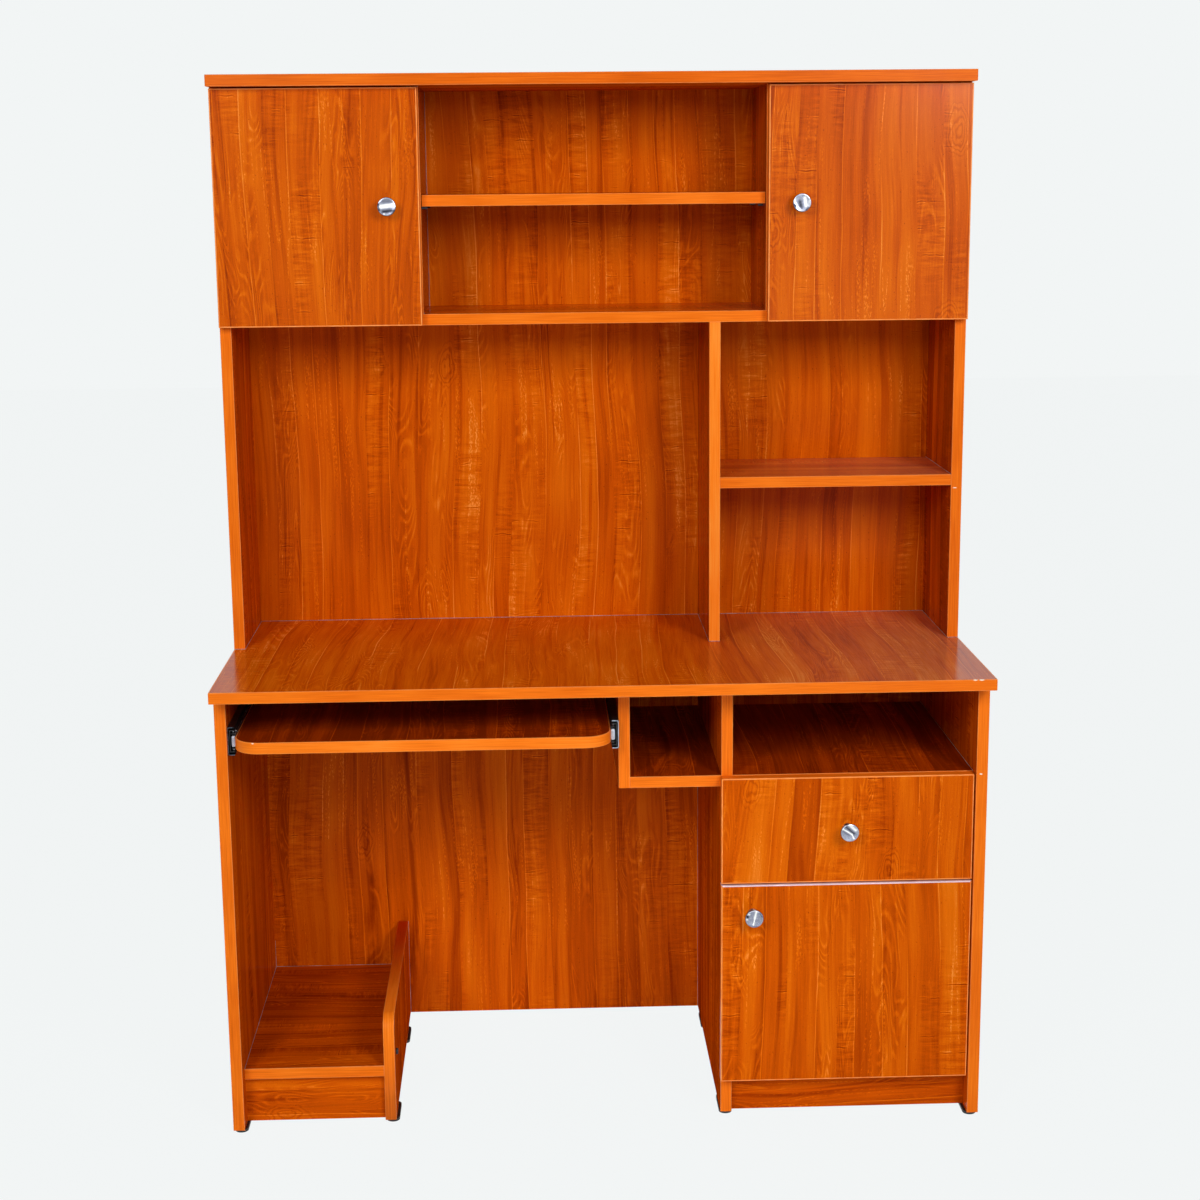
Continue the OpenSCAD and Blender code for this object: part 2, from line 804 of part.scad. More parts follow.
// A door with its knob's hole and its cup holes. The hinged edge is at hinge_x, and the cups lie
// from it along side, which is 1 or -1
module door(x0, x1, y0, z0, z1, hinge_x, side, zs, knob) {
    color(LAMINATE) placed() difference() {
        translate([x0, y0, z0]) cube([x1 - x0, board_t, z1 - z0]);
        for (z = zs)
            rod([hinge_x + side * cup_x, y0 + board_t, z], FRONT, cup_d / 2 + fit_gap,
                -cut, cup_depth + fit_gap, LARGE_ROUND);
        knob_hole(knob[0], knob[2], y0);
    }
}

module pedestal_door() {
    door(front_x0, front_x1, fronts_y, door_z0, door_z1, front_x1, -1, lower_hinge_z, pedestal_knob);
}

module upper_door_left() {
    door(-upper_x1, -upper_x0, upper_y0, upper_z0, upper_z1, -upper_x1, 1, upper_hinge_z, left_knob);
}

module upper_door_right() {
    door(upper_x0, upper_x1, upper_y0, upper_z0, upper_z1, upper_x1, -1, upper_hinge_z, right_knob);
}

// Knob with a round head on a neck that spreads towards the door, and its screw from behind
module knob(at) {
    head_r = knob_d / 2;
    neck_r = neck_d / 2;
    rim_z = knob_l - knob_crown - knob_rim;
    swell = head_r - knob_rim - neck_r;
    thread = knob_l * knob_thread;
    color(STEEL) placed() translate(at) rotate([90, 0, 0]) {
        difference() {
            rotate_extrude($fn = LARGE_ROUND)
                polygon(concat(
                    [[0, 0], [neck_r + knob_foot, 0], [neck_r, 2 * knob_foot]],
                    [for (t = SWELL) [
                        neck_r + swell * (1 - cos(t)),
                        2 * knob_foot + (rim_z - knob_rim - 2 * knob_foot) * sin(t)
                    ]],
                    [for (t = RIM) [head_r - knob_rim + knob_rim * cos(t), rim_z + knob_rim * sin(t)]],
                    [[0, knob_l]]
                ));
            translate([0, 0, -cut])
                cylinder(r = knob_screw_r + fit_gap, h = thread + 2 * cut, $fn = SMALL_ROUND);
        }
        translate([0, 0, -board_t])
            cylinder(r = knob_screw_r, h = board_t + thread, $fn = SMALL_ROUND);
        difference() {
            translate([0, 0, -board_t - knob_screw_h])
                cylinder(r = 2 * knob_screw_r, h = knob_screw_h, $fn = SMALL_ROUND);
            translate([-knob_slot / 2, -2 * knob_screw_r, -board_t - knob_screw_h - cut])
                cube([knob_slot, 4 * knob_screw_r, knob_screw_h / 2 + cut]);
        }
    }
}

module knob_upper_left() {
    knob(left_knob);
}

module knob_upper_right() {
    knob(right_knob);
}

module knob_drawer() {
    knob(drawer_knob);
}

module knob_pedestal() {
    knob(pedestal_knob);
}

// Hinge cup: a pressed bowl let into the door, a flange held by two screws, and the folded link,
// which lies towards the door's hinged edge and ends level with the flange
module hinge_cup(x, side, y, z) {
    bowl_r = cup_d / 2;
    link_x = side > 0 ? x - link_l : x - link_tail;
    union() {
        difference() {
            union() {
                rod([x, y, z], FRONT, bowl_r, 0, cup_depth, LARGE_ROUND);
                rod([x, y, z], BACK, bowl_r + flange_rim, 0, flange_t, LARGE_ROUND);
                translate([x - flange_w / 2, y, z - flange_l / 2]) cube([flange_w, flange_t, flange_l]);
            }
            rod([x, y, z], FRONT, bowl_r - cup_t, -flange_t - cut, cup_depth - cup_t, LARGE_ROUND);
        }
        translate([link_x, y - cup_depth, z - link_w / 2])
            cube([link_l + link_tail, cup_depth + flange_t, link_w]);
    }
    for (s = [-1, 1])
        rod([x, y + flange_t, z + s * (flange_l / 2 - hinge_screw_inset)], BACK,
            hinge_screw_r, 0, hinge_screw_h);
}

module hinge_cups(hinge_x, side, y, zs) {
    color(ZINC) placed() for (z = zs) hinge_cup(hinge_x + side * cup_x, side, y, z);
}

module hinge_cups_upper_left() {
    hinge_cups(-upper_x1, 1, upper_y1, upper_hinge_z);
}

module hinge_cups_upper_right() {
    hinge_cups(upper_x1, -1, upper_y1, upper_hinge_z);
}

module hinge_cups_pedestal() {
    hinge_cups(front_x1, -1, fronts_y + board_t, lower_hinge_z);
}

// Hinge arm on its mounting plate. It ends just behind the cup's flange
module hinge_arm(x, side, front, door_back, z) {
    start = door_back + flange_t + link_gap;
    end = front + plate_back + arm_tail;
    plate_x = side > 0 ? x : x - plate_t;
    arm_x = side > 0 ? x + plate_t : x - plate_t - arm_t;
    translate([plate_x, front + plate_back - plate_w / 2, z - plate_h / 2])
        cube([plate_t, plate_w, plate_h]);
    translate([arm_x, start, z - arm_w / 2]) cube([arm_t, end - start, arm_w]);
    for (s = [-1, 1])
        rod([x + side * plate_t, front + plate_back, z + s * plate_h / 3], [side, 0, 0],
            hinge_screw_r, 0, hinge_screw_h);
}

module hinge_arms() {
    color(ZINC) placed() {
        for (z = upper_hinge_z) {
            hinge_arm(-side_x, 1, hutch_y, upper_y1, z);
            hinge_arm(side_x, -1, hutch_y, upper_y1, z);
        }
        for (z = lower_hinge_z) hinge_arm(side_x, -1, carcass_y, fronts_y + board_t, z);
    }
}

// Cuboid centred on a point, with a size along each of three square directions
module brick(p, a, la, b, lb, c, lc) {
    size = [for (k = [0:2]) abs(a[k]) * la + abs(b[k]) * lb + abs(c[k]) * lc];
    translate(p - size / 2) cube(size);
}

// Cam lock: a disc in the board's face, notched for the bolt's head, with a cross slot
module cam_lock(j) {
    face = j[3] - cam_sink;
    across = cross(j[1], j[2]);
    top = cam_at(j) + face * j[2];
    wide = 2 * (bolt_r + fit_gap);
    difference() {
        rod(cam_at(j), j[2], cam_r - fit_gap, fit_gap - cam_extra, face);
        brick(cam_at(j) - cam_r / 2 * j[1], j[1], cam_r + 2 * notch_depth, j[2], wide, across, wide);
        brick(top, j[1], cam_r, j[2], slot_depth, across, slot_w);
        brick(top, j[1], slot_w, j[2], slot_depth, across, cam_r);
    }
}

// Cam bolt: a collar held in the joined board, a thin neck, and a head in the cam lock
module cam_bolt(j) {
    neck0 = cam_reach - cam_r - bolt_neck;
    neck1 = cam_reach - bolt_neck;
    union() {
        rod(j[0], j[1], bolt_r - fit_gap, fit_gap - face_depth, neck0);
        rod(j[0], j[1], bolt_r / 2, neck0 - bolt_play, neck1 + bolt_play);
        rod(j[0], j[1], bolt_r - bolt_play, neck1, cam_reach + bolt_play);
    }
}

module cam_locks() {
    color(ZINC) placed() for (j = JOINTS) cam_lock(j);
}

module cam_bolts() {
    color(ZINC) placed() for (j = JOINTS) cam_bolt(j);
}

module dowels() {
    color(BIRCH) placed()
        for (j = JOINTS) rod(dowel_at(j), j[1], dowel_r - fit_gap, fit_gap - face_depth, dowel_reach);
}

// Countersunk screws through the back boards
module back_screws() {
    color(ZINC) placed() for (s = SCREWS)
        translate([s[0], desk_d, s[1]]) rotate([90, 0, 0])
            rotate_extrude($fn = SMALL_ROUND)
            polygon([
                [0, screw_sink], [screw_head_r, screw_sink], [screw_head_r, screw_sink + screw_rim],
                [screw_r, screw_head_r], [screw_r, screw_l - screw_tip_l], [screw_tip_r, screw_l], [0, screw_l]
            ]);
}

worktop();
desk_side_left();
desk_side_right();
pedestal_partition();
lower_back_panel();
cpu_divider();
cpu_shelf();
cpu_plinth();
cubby_wall();
cubby_floor();
pedestal_shelf();
pedestal_floor();
pedestal_plinth();
glides();
hutch_side_left();
hutch_side_right();
hutch_back_panel();
hutch_top();
cabinet_floor();
cabinet_partition_left();
cabinet_partition_right();
hutch_divider();
hutch_shelf();
middle_shelf();
shelf_pins();
keyboard_tray();
tray_slide_outer_left();
tray_slide_outer_right();
tray_slide_middle_left();
tray_slide_middle_right();
tray_slide_inner_left();
tray_slide_inner_right();
tray_slide_balls();
drawer_front();
drawer_side_left();
drawer_side_right();
drawer_back();
drawer_bottom();
drawer_slide_outer_left();
drawer_slide_outer_right();
drawer_slide_middle_left();
drawer_slide_middle_right();
drawer_slide_inner_left();
drawer_slide_inner_right();
drawer_slide_balls();
pedestal_door();
upper_door_left();
upper_door_right();
knob_upper_left();
knob_upper_right();
knob_drawer();
knob_pedestal();
hinge_arms();
hinge_cups_upper_left();
hinge_cups_upper_right();
hinge_cups_pedestal();
cam_locks();
cam_bolts();
dowels();
back_screws();
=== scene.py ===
import json
import math

import bmesh
import bpy
import numpy as np
from mathutils import Matrix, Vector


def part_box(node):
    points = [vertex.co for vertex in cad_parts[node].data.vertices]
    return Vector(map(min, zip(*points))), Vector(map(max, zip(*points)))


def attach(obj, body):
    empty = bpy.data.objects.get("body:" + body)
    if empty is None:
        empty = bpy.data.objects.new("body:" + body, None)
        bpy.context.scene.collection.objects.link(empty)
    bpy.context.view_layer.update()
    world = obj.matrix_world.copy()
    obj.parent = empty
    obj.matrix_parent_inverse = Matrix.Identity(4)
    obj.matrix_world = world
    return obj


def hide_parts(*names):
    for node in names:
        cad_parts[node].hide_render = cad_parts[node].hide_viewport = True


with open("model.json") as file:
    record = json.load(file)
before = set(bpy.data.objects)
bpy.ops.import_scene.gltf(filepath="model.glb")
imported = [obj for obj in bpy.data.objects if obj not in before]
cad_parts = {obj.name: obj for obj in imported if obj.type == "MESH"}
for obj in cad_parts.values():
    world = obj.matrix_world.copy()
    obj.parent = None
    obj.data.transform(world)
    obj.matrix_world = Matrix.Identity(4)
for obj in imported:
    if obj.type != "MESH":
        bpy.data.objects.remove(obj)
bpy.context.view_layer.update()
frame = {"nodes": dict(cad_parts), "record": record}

# The photograph's camera, in metres and degrees in the desk's frame
CAMERA_AT = (-0.11484, -3.31543, 1.49685)
CAMERA_YAW = 2.0265
CAMERA_PITCH = 11.566
CAMERA_ROLL = -0.527
SENSOR = 36.0
LENS = 62.142

# Sizes of the boards' details, in metres
BAND = 0.002
ARRIS = 0.0009
TRAY_CORNER = 0.042
DIVIDER_CORNER = 0.029
LINE_W = 0.0008

# Points on a rounded corner, the distance in metres that counts as touching, and the decimal
# place to which points are welded
CORNER_STEPS = 14
TOUCHING = 0.00001
WELD_DIGITS = 6

# How far on the next board lies in the print, along the grain and across it, in metres
SEED_STEP = (0.731, 0.377)

# Level of the faces where a band is folded over its board
FOLDED = 2.0

# Waves per metre of a band's stripes, along its run and across it
STRIPES_ALONG = 14.0
STRIPES_ACROSS = 1400.0

# Sizes of the knobs, in metres. The foot is given by steps past the neck's radius and by
# distances out from the door.
KNOB_LENGTH = 0.025
KNOB_NECK = 0.0065
KNOB_NECK_END = 0.004
KNOB_BODY_GAP = 0.001
KNOB_RIM = 0.0016
KNOB_DISH = 0.0006
KNOB_MIDDLE = 0.0002
KNOB_FOOT = ((0.0018, 0.00002), (0.002, 0.0008), (0.0006, 0.0018))

# The knobs' screws, and the doors that they go through
SCREW_R = 0.0019
SCREW_HEAD_R = 0.004
SCREW_HEAD_H = 0.0022
SCREW_SLOT = 0.0004
DOOR_T = 0.018

# Front ends of the tray's slides. Y of the rims and of the bumpers counts from the member's
# front, and X and Z of the rivet from the left inner member's side and top.
SLIDE_RIM = 0.0013
SLIDE_CORNER = 0.0032
SLIDE_RIM_Y = (-0.0006, 0.0004)
BUMPER_Y = (-0.0016, 0.003)
BUMPER_Z = (0.6382, 0.6556)
BUMPER_IN = 0.0003
BUMPER_IN_RIGHT = 0.0009
TOP_EDGE_L = 0.16
TOP_EDGE_IN = 0.0002
RIVET_X = (0.0035, 0.0060)
RIVET_Y = (-0.1912, -0.1882)
RIVET_Z = (-0.0004, 0.0012)

# Black disc on the low divider, painted shade for a hole there: its middle in Y and Z, and its sizes
HOLE_SHADE_AT = (-0.1598, 0.1095)
HOLE_SHADE_R = 0.005
HOLE_SHADE_RIM = 0.001
HOLE_SHADE_STEM = 0.0024
HOLE_SHADE_FACE = 0.003

# Light of the room, and how the floor shows its paper
ROOM_LIGHT = 0.19
FLOOR_GLOW = 1.015
FLOOR_SHARE = 0.965
FLOOR_REACH = 12.0
FLOOR_Z = -0.0003

# Lamps: place, aim, width and height in metres, power in watts, and beam in degrees where narrow
AIM = (0.0, 0.0, 0.85)
LAMPS = {
    "key": ((1.45, -3.0, 2.35), AIM, (0.8, 1.2), 56.0),
    "fill": ((-1.5, -3.0, 2.4), AIM, (0.7, 1.1), 43.0),
    "low_card": ((-0.2, -3.0, 0.8), (-0.1, 0.0, 0.2), (0.6, 0.25), 0.25, 24.0),
    "right_card": ((0.9, -3.0, 0.28), AIM, (0.45, 0.6), 2.0),
    "left_card": ((-0.81, -3.0, 0.52), AIM, (0.10, 0.92), 0.4),
}

# Colours as the photograph shows them, in sRGB from 0 to 255
BACKGROUND = (242, 245, 245)
WOOD_DEEP = (130, 42, 0)
WOOD_DARK = (170, 62, 0)
WOOD_MID = (206, 86, 2)
WOOD_LIGHT = (226, 110, 8)
WOOD_PALE = (248, 150, 58)
BAND_DEEP = (194, 79, 1)
BAND_DARK = (227, 101, 5)
BAND_LIGHT = (252, 128, 23)
BAND_GLOW = (255, 149, 50)
# pale of the painted highlight along the bands' arrises
BAND_HIGHLIGHT = (255, 172, 98)
LINE_DARK = (112, 78, 66)
LINE_GREY = (178, 160, 156)
CHIP = (255, 232, 208)
# pale of the dust and of the painted sheen on the open tops
DUST_AND_SHEEN = (220, 204, 196)
KNOB_DARK = (44, 46, 58)
KNOB_GREY = (152, 156, 174)
KNOB_WHITE = (255, 255, 255)

# Speckled finishes: dark and light colour, roughness, metal, and waves per metre
SPECKLED = {
    # pale core of a bare edge, raised paler as painted light
    "bare_edge_painted_light": ((218, 192, 198), (244, 226, 232), 0.6, 0.0, 900.0),
    "joint_bead": (LINE_DARK, LINE_GREY, 0.5, 0.0, 500.0),
    "slide_black": ((10, 10, 11), (26, 26, 28), 0.38, 0.0, 900.0),
    "slide_zinc": ((150, 152, 156), (214, 216, 220), 0.3, 1.0, 260.0),
    "ball_steel": ((170, 170, 174), (222, 222, 226), 0.2, 1.0, 300.0),
    "plated_fittings": ((160, 160, 166), (212, 212, 218), 0.28, 1.0, 320.0),
    "slide_cut_edge": ((120, 130, 142), (186, 200, 216), 0.4, 1.0, 900.0),
    # darker copy of the cut edge: painted shade on the left slide's rim, and dull steel on the shelf
    # pins
    "dull_steel_and_painted_shade": ((40, 42, 48), (112, 122, 136), 0.4, 1.0, 500.0),
    "slide_bumper": ((176, 190, 208), (214, 226, 238), 0.5, 0.0, 700.0),
    "glide_plastic": ((16, 16, 17), (34, 34, 36), 0.5, 0.0, 1200.0),
    "dowel_birch": ((180, 140, 92), (224, 190, 140), 0.6, 0.0, 220.0),
    "drawer_hardboard": ((150, 92, 50), (186, 124, 76), 0.6, 0.0, 700.0),
}

# Finishes of the CAD nodes that stay, by the start of their names. The last that fits counts.
DRESSED = {
    "tray_slide": "slide_black", "drawer_slide": "slide_black", "drawer_slide_inner": "slide_zinc",
    "tray_slide_balls": "ball_steel", "drawer_slide_balls": "ball_steel",
    "drawer_bottom": "drawer_hardboard", "glides": "glide_plastic",
    "shelf_pins": "dull_steel_and_painted_shade", "dowels": "dowel_birch", "hinge": "plated_fittings",
    "cam": "plated_fittings", "back_screws": "plated_fittings",
}

# Strips and cracks in each metre of the woodgrain, and waves per metre of its noises and knots,
# along the grain and across it
STRIPS = 24.0
CRACKS = 15.0
WAVES = {
    "drift": (1.3, 2.0), "sway": (6.0, 9.0), "sweep": (2.4, 7.0),
    "cloud": (4.5, 13.0), "broad": (0.9, 34.0), "streak": (3.0, 130.0),
    "dark_streak": (1.7, 70.0), "fibre": (16.0, 620.0), "speck": (700.0, 900.0),
    "fleck_line": (2.0, 48.0), "fleck": (190.0, 420.0), "fleck_patch": (5.0, 14.0),
    "ripple": (150.0, 24.0), "ripple_patch": (5.0, 16.0),
    "crack_bend": (9.0, 60.0), "crack_break": (30.0, 45.0),
    "figure": (3.2, 19.0), "figure_patch": (7.0, 25.0), "figure_break": (60.0, 150.0),
    "bead": (140.0, 420.0), "seam": (2.2, 22.0), "pore": (260.0, 420.0),
    "knot": (6.5, 14.0), "knot_rim": (28.0, 70.0),
}

# Each board: the axis of its grain, its banded sides, how much lighter than most its faces and its
# bands are, and how strongly its faces mirror the room. These tones are mostly painted light and
# shade: boards that lie in shade, such as the tray, the shelves under the worktop and the inner
# sides, are painted darker, and some bands, such as the dividers', are painted lighter where too
# little light reaches them.
BOARDS = {
    "worktop": (1, "-y -x +x", 0.14, 0.0, 0.05),
    "desk_side_left": (2, "-y", -0.08, 0.0, 0.02),
    "desk_side_right": (2, "-y", 0.0, 0.0, 0.02),
    "pedestal_partition": (2, "-y", -0.03, 0.0, 0.0),
    "lower_back_panel": (2, "", 0.02, 0.0, 0.02),
    "cpu_shelf": (0, "-y", -0.12, 0.04, 0.02),
    "cpu_plinth": (0, "", -0.05, 0.0, 0.02),
    "cubby_wall": (2, "-y -z", -0.1, 0.0, 0.02),
    "cubby_floor": (1, "-y", -0.32, 0.0, 0.02),
    "pedestal_shelf": (1, "-y", -0.32, 0.0, 0.02),
    "pedestal_floor": (0, "-y", 0.0, 0.0, 0.02),
    "pedestal_plinth": (0, "", 0.0, 0.0, 0.02),
    "hutch_side_left": (2, "-y", -0.14, 0.0, 0.02),
    "hutch_side_right": (2, "-y", -0.18, -0.08, 0.02),
    "hutch_back_panel": (2, "", 0.08, 0.0, 0.02),
    "hutch_top": (0, "-y -x +x", 0.0, -0.2, 0.0),
    "cabinet_floor": (0, "-y", 0.0, 0.0, 0.02),
    "cabinet_partition_left": (2, "-y", -0.28, 0.0, 0.02),
    "cabinet_partition_right": (2, "-y", -0.23, 0.0, 0.02),
    "hutch_divider": (2, "-y", -0.22, 0.3, 0.02),
    "hutch_shelf": (0, "-y", 0.05, 0.0, 0.05),
    "middle_shelf": (0, "-y", 0.0, 0.0, 0.02),
    "drawer_front": (2, "-x +x -z +z", 0.04, 0.0, 0.02),
    "drawer_side_left": (1, "+z", 0.0, 0.0, 0.02),
    "drawer_side_right": (1, "+z", 0.0, 0.0, 0.02),
    "drawer_back": (0, "+z", 0.0, 0.0, 0.02),
    "pedestal_door": (2, "-x +x -z +z", 0.05, 0.0, 0.02),
    "upper_door_left": (2, "-x +x -z +z", 0.03, 0.0, 0.07),
    "upper_door_right": (2, "-x +x -z +z", 0.09, 0.0, 0.14),
    "keyboard_tray": (1, "all round", -0.42, 0.16, 0.02),
    "cpu_divider": (2, "all round", -0.12, 0.15, 0.0),
}

# Sides whose band is pale instead of orange: a bare edge, painted paler still as painted light
# where the drawer above keeps the lamps' light off it
BARE_SIDES = {"pedestal_door": "+z"}

# Strokes of light and shadow on each knob's face: where each starts and ends, its width (all in
# shares of the radius, right and up) and its strength, above 0 for light and below for shadow
KNOB_STROKES = {
    "knob_upper_left": [
        (-0.70, -0.02, 0.85, 0.18, 0.19, 1.6), (-0.40, -0.52, 0.70, -0.45, 0.22, -1.0),
        (-0.88, 0.25, -0.80, -0.35, 0.10, -1.4), (-0.32, -0.74, -0.26, -0.76, 0.09, 1.0),
        (-0.30, 0.55, 0.40, 0.58, 0.20, -0.45),
    ],
    "knob_upper_right": [
        (0.30, 0.50, 0.42, -0.30, 0.15, 1.2), (0.76, 0.20, 0.70, -0.40, 0.09, 0.5),
        (-0.85, 0.30, -0.72, -0.10, 0.10, 1.0), (-0.55, -0.35, -0.30, -0.80, 0.07, 0.9),
        (-0.82, -0.20, -0.72, -0.38, 0.09, -1.9), (-0.25, 0.10, -0.10, -0.50, 0.26, -0.9),
        (0.40, -0.80, 0.72, -0.52, 0.07, -0.9),
    ],
    "knob_drawer": [
        (-0.78, 0.45, 0.20, -0.15, 0.08, 1.2), (0.20, -0.15, 0.42, -0.62, 0.08, 0.9),
        (0.00, 0.85, 0.62, 0.30, 0.14, 1.2), (-0.40, 0.65, 0.45, -0.10, 0.13, -0.9),
        (-0.75, 0.20, -0.10, -0.25, 0.10, -0.4),
    ],
    "knob_pedestal": [
        (0.20, 0.78, 0.05, 0.10, 0.11, 1.2), (0.05, 0.10, -0.10, -0.68, 0.07, 1.2),
        (-0.76, 0.28, -0.74, 0.26, 0.12, -1.9), (-0.62, 0.55, -0.52, 0.52, 0.09, 0.9),
        (-0.80, -0.02, -0.79, -0.06, 0.09, 1.0), (0.60, 0.65, 0.85, 0.20, 0.06, -0.8),
        (-0.60, -0.74, 0.40, -0.88, 0.06, -0.5),
    ],
}

# Knocks in the edge bands: middle and half sizes, in metres
CHIPS = [
    ((0.5655, -0.265, 0.7382), (0.0034, 0.003, 0.0014)),
    ((0.5752, -0.265, 0.7382), (0.0042, 0.003, 0.0016)),
    ((-0.5384, -0.253, 0.6550), (0.0024, 0.003, 0.0013)),
    ((0.5891, -0.217, 0.5744), (0.0024, 0.003, 0.0013)),
    ((0.5882, 0.031, 0.9901), (0.0034, 0.003, 0.0008)),
]


def linear(rgb):
    """Turns an sRGB colour from 0..255 into the linear values that shaders take."""
    c = np.asarray(rgb, dtype=float) / 255.0
    lin = np.where(c <= 0.04045, c / 12.92, ((c + 0.055) / 1.055) ** 2.4)
    return (*lin, 1.0)


def set_up(name, data, at, right, up, back):
    """Camera or lamp at a place, with its own axes along right, up and back."""
    thing = bpy.data.objects.new(name, data)
    bpy.context.scene.collection.objects.link(thing)
    turn = Matrix(np.column_stack([right, up, back]).tolist()).to_4x4()
    thing.matrix_world = Matrix.Translation(at) @ turn
    return thing


def photo_camera():
    """Pinhole at CAMERA_AT that looks along +Y, turned by yaw, dipped by pitch, then rolled."""
    yaw, pitch, roll = (math.radians(v) for v in (CAMERA_YAW, CAMERA_PITCH, CAMERA_ROLL))
    level = np.array([math.sin(yaw), math.cos(yaw), 0.0])
    ahead = level * math.cos(pitch) - np.array([0.0, 0.0, math.sin(pitch)])
    right = np.array([math.cos(yaw), -math.sin(yaw), 0.0])
    up = np.cross(right, ahead)
    rolled_right = right * math.cos(roll) + up * math.sin(roll)
    rolled_up = up * math.cos(roll) - right * math.sin(roll)
    data = bpy.data.cameras.new("photo_camera")
    data.sensor_fit = "HORIZONTAL"
    data.sensor_width = SENSOR
    data.lens = LENS
    bpy.context.scene.camera = set_up("photo_camera", data, CAMERA_AT, rolled_right, rolled_up, -ahead)


class Nodes:
    """Adds nodes to one tree and links them by short calls."""

    def __init__(self, tree):
        self.tree = tree

    def put(self, socket, value):
        """Links another socket to this one, or sets its value."""
        if isinstance(value, bpy.types.NodeSocket):
            self.tree.links.new(value, socket)
        else:
            socket.default_value = value

    def add(self, kind, inputs=None, **settings):
        """New node. Its inputs are given by their names or numbers."""
        node = self.tree.nodes.new(kind)
        for name, value in settings.items():
            setattr(node, name, value)
        for key, value in (inputs or {}).items():
            self.put(node.inputs[key], value)
        return node

    def math(self, operation, a, b=0.0, c=0.0):
        return self.add("ShaderNodeMath", {0: a, 1: b, 2: c}, operation=operation).outputs[0]

    def times(self, a, b):
        return self.math("MULTIPLY", a, b)

    def less(self, a, b=0.5):
        return self.math("SUBTRACT", a, b)

    def apart(self, a, b=0.5):
        """Distance between a and b."""
        return self.math("ABSOLUTE", self.less(a, b))

    def laid(self, value, weight, onto):
        """Onto plus weight times value."""
        return self.math("MULTIPLY_ADD", value, weight, onto)

    def centred(self, value, weight, onto):
        """Onto plus weight times the value's distance above one half."""
        return self.laid(self.less(value), weight, onto)

    def vector_math(self, operation, a, b=(0.0, 0.0, 0.0), output="Vector"):
        return self.add("ShaderNodeVectorMath", {0: a, 1: b}, operation=operation).outputs[output]

    def vector(self, x=0.0, y=0.0, z=0.0):
        return self.add("ShaderNodeCombineXYZ", {0: x, 1: y, 2: z}).outputs[0]

    def split(self, vector):
        return self.add("ShaderNodeSeparateXYZ", {0: vector}).outputs

    def place(self):
        return self.add("ShaderNodeTexCoord").outputs["Object"]

    def read(self, attribute, output="Fac"):
        return self.add("ShaderNodeAttribute", attribute_name=attribute).outputs[output]

    def noise(self, vector, scale, detail=2.0, rough=0.5, distortion=0.0):
        inputs = {"Vector": vector, "Scale": scale, "Detail": detail, "Roughness": rough,
                  "Distortion": distortion}
        return self.add("ShaderNodeTexNoise", inputs).outputs["Fac"]

    def cells(self, place, dimensions="1D", feature="DISTANCE_TO_EDGE"):
        """Outputs of a pattern of cells, each about one unit wide."""
        inputs = {"W" if dimensions == "1D" else "Vector": place, "Scale": 1.0}
        kind = "ShaderNodeTexVoronoi"
        return self.add(kind, inputs, voronoi_dimensions=dimensions, feature=feature).outputs

    def spread(self, value, low, high, out_low=0.0, out_high=1.0):
        """Maps low..high smoothly to out_low..out_high and clamps."""
        inputs = {"Value": value, "From Min": low, "From Max": high, "To Min": out_low,
                  "To Max": out_high}
        return self.add("ShaderNodeMapRange", inputs, interpolation_type="SMOOTHSTEP").outputs["Result"]

    def fade(self, value, low, high):
        """1 up to low, falling to 0 at high."""
        return self.spread(value, low, high, 1.0, 0.0)

    def ramp(self, value, stops):
        node = self.add("ShaderNodeValToRGB", {0: value})
        elements = node.color_ramp.elements
        while len(elements) < len(stops):
            elements.new(0.5)
        for element, (place, rgb) in zip(elements, stops):
            element.position = place
            element.color = linear(rgb)
        return node.outputs["Color"]

    def mix(self, factor, a, b):
        return self.add("ShaderNodeMix", {0: factor, 6: a, 7: b}, data_type="RGBA").outputs[2]


def new_group(name, inputs, outputs):
    """Empty shader node group, from the names and kinds of its sockets. Returns its node helper,
    its input sockets and its output node's sockets."""
    tree = bpy.data.node_groups.new(name, "ShaderNodeTree")
    for in_out, sockets in (("INPUT", inputs), ("OUTPUT", outputs)):
        for label, kind in sockets.items():
            tree.interface.new_socket(name=label, in_out=in_out, socket_type="NodeSocket" + kind)
    nodes = Nodes(tree)
    return nodes, nodes.add("NodeGroupInput").outputs, nodes.add("NodeGroupOutput").inputs


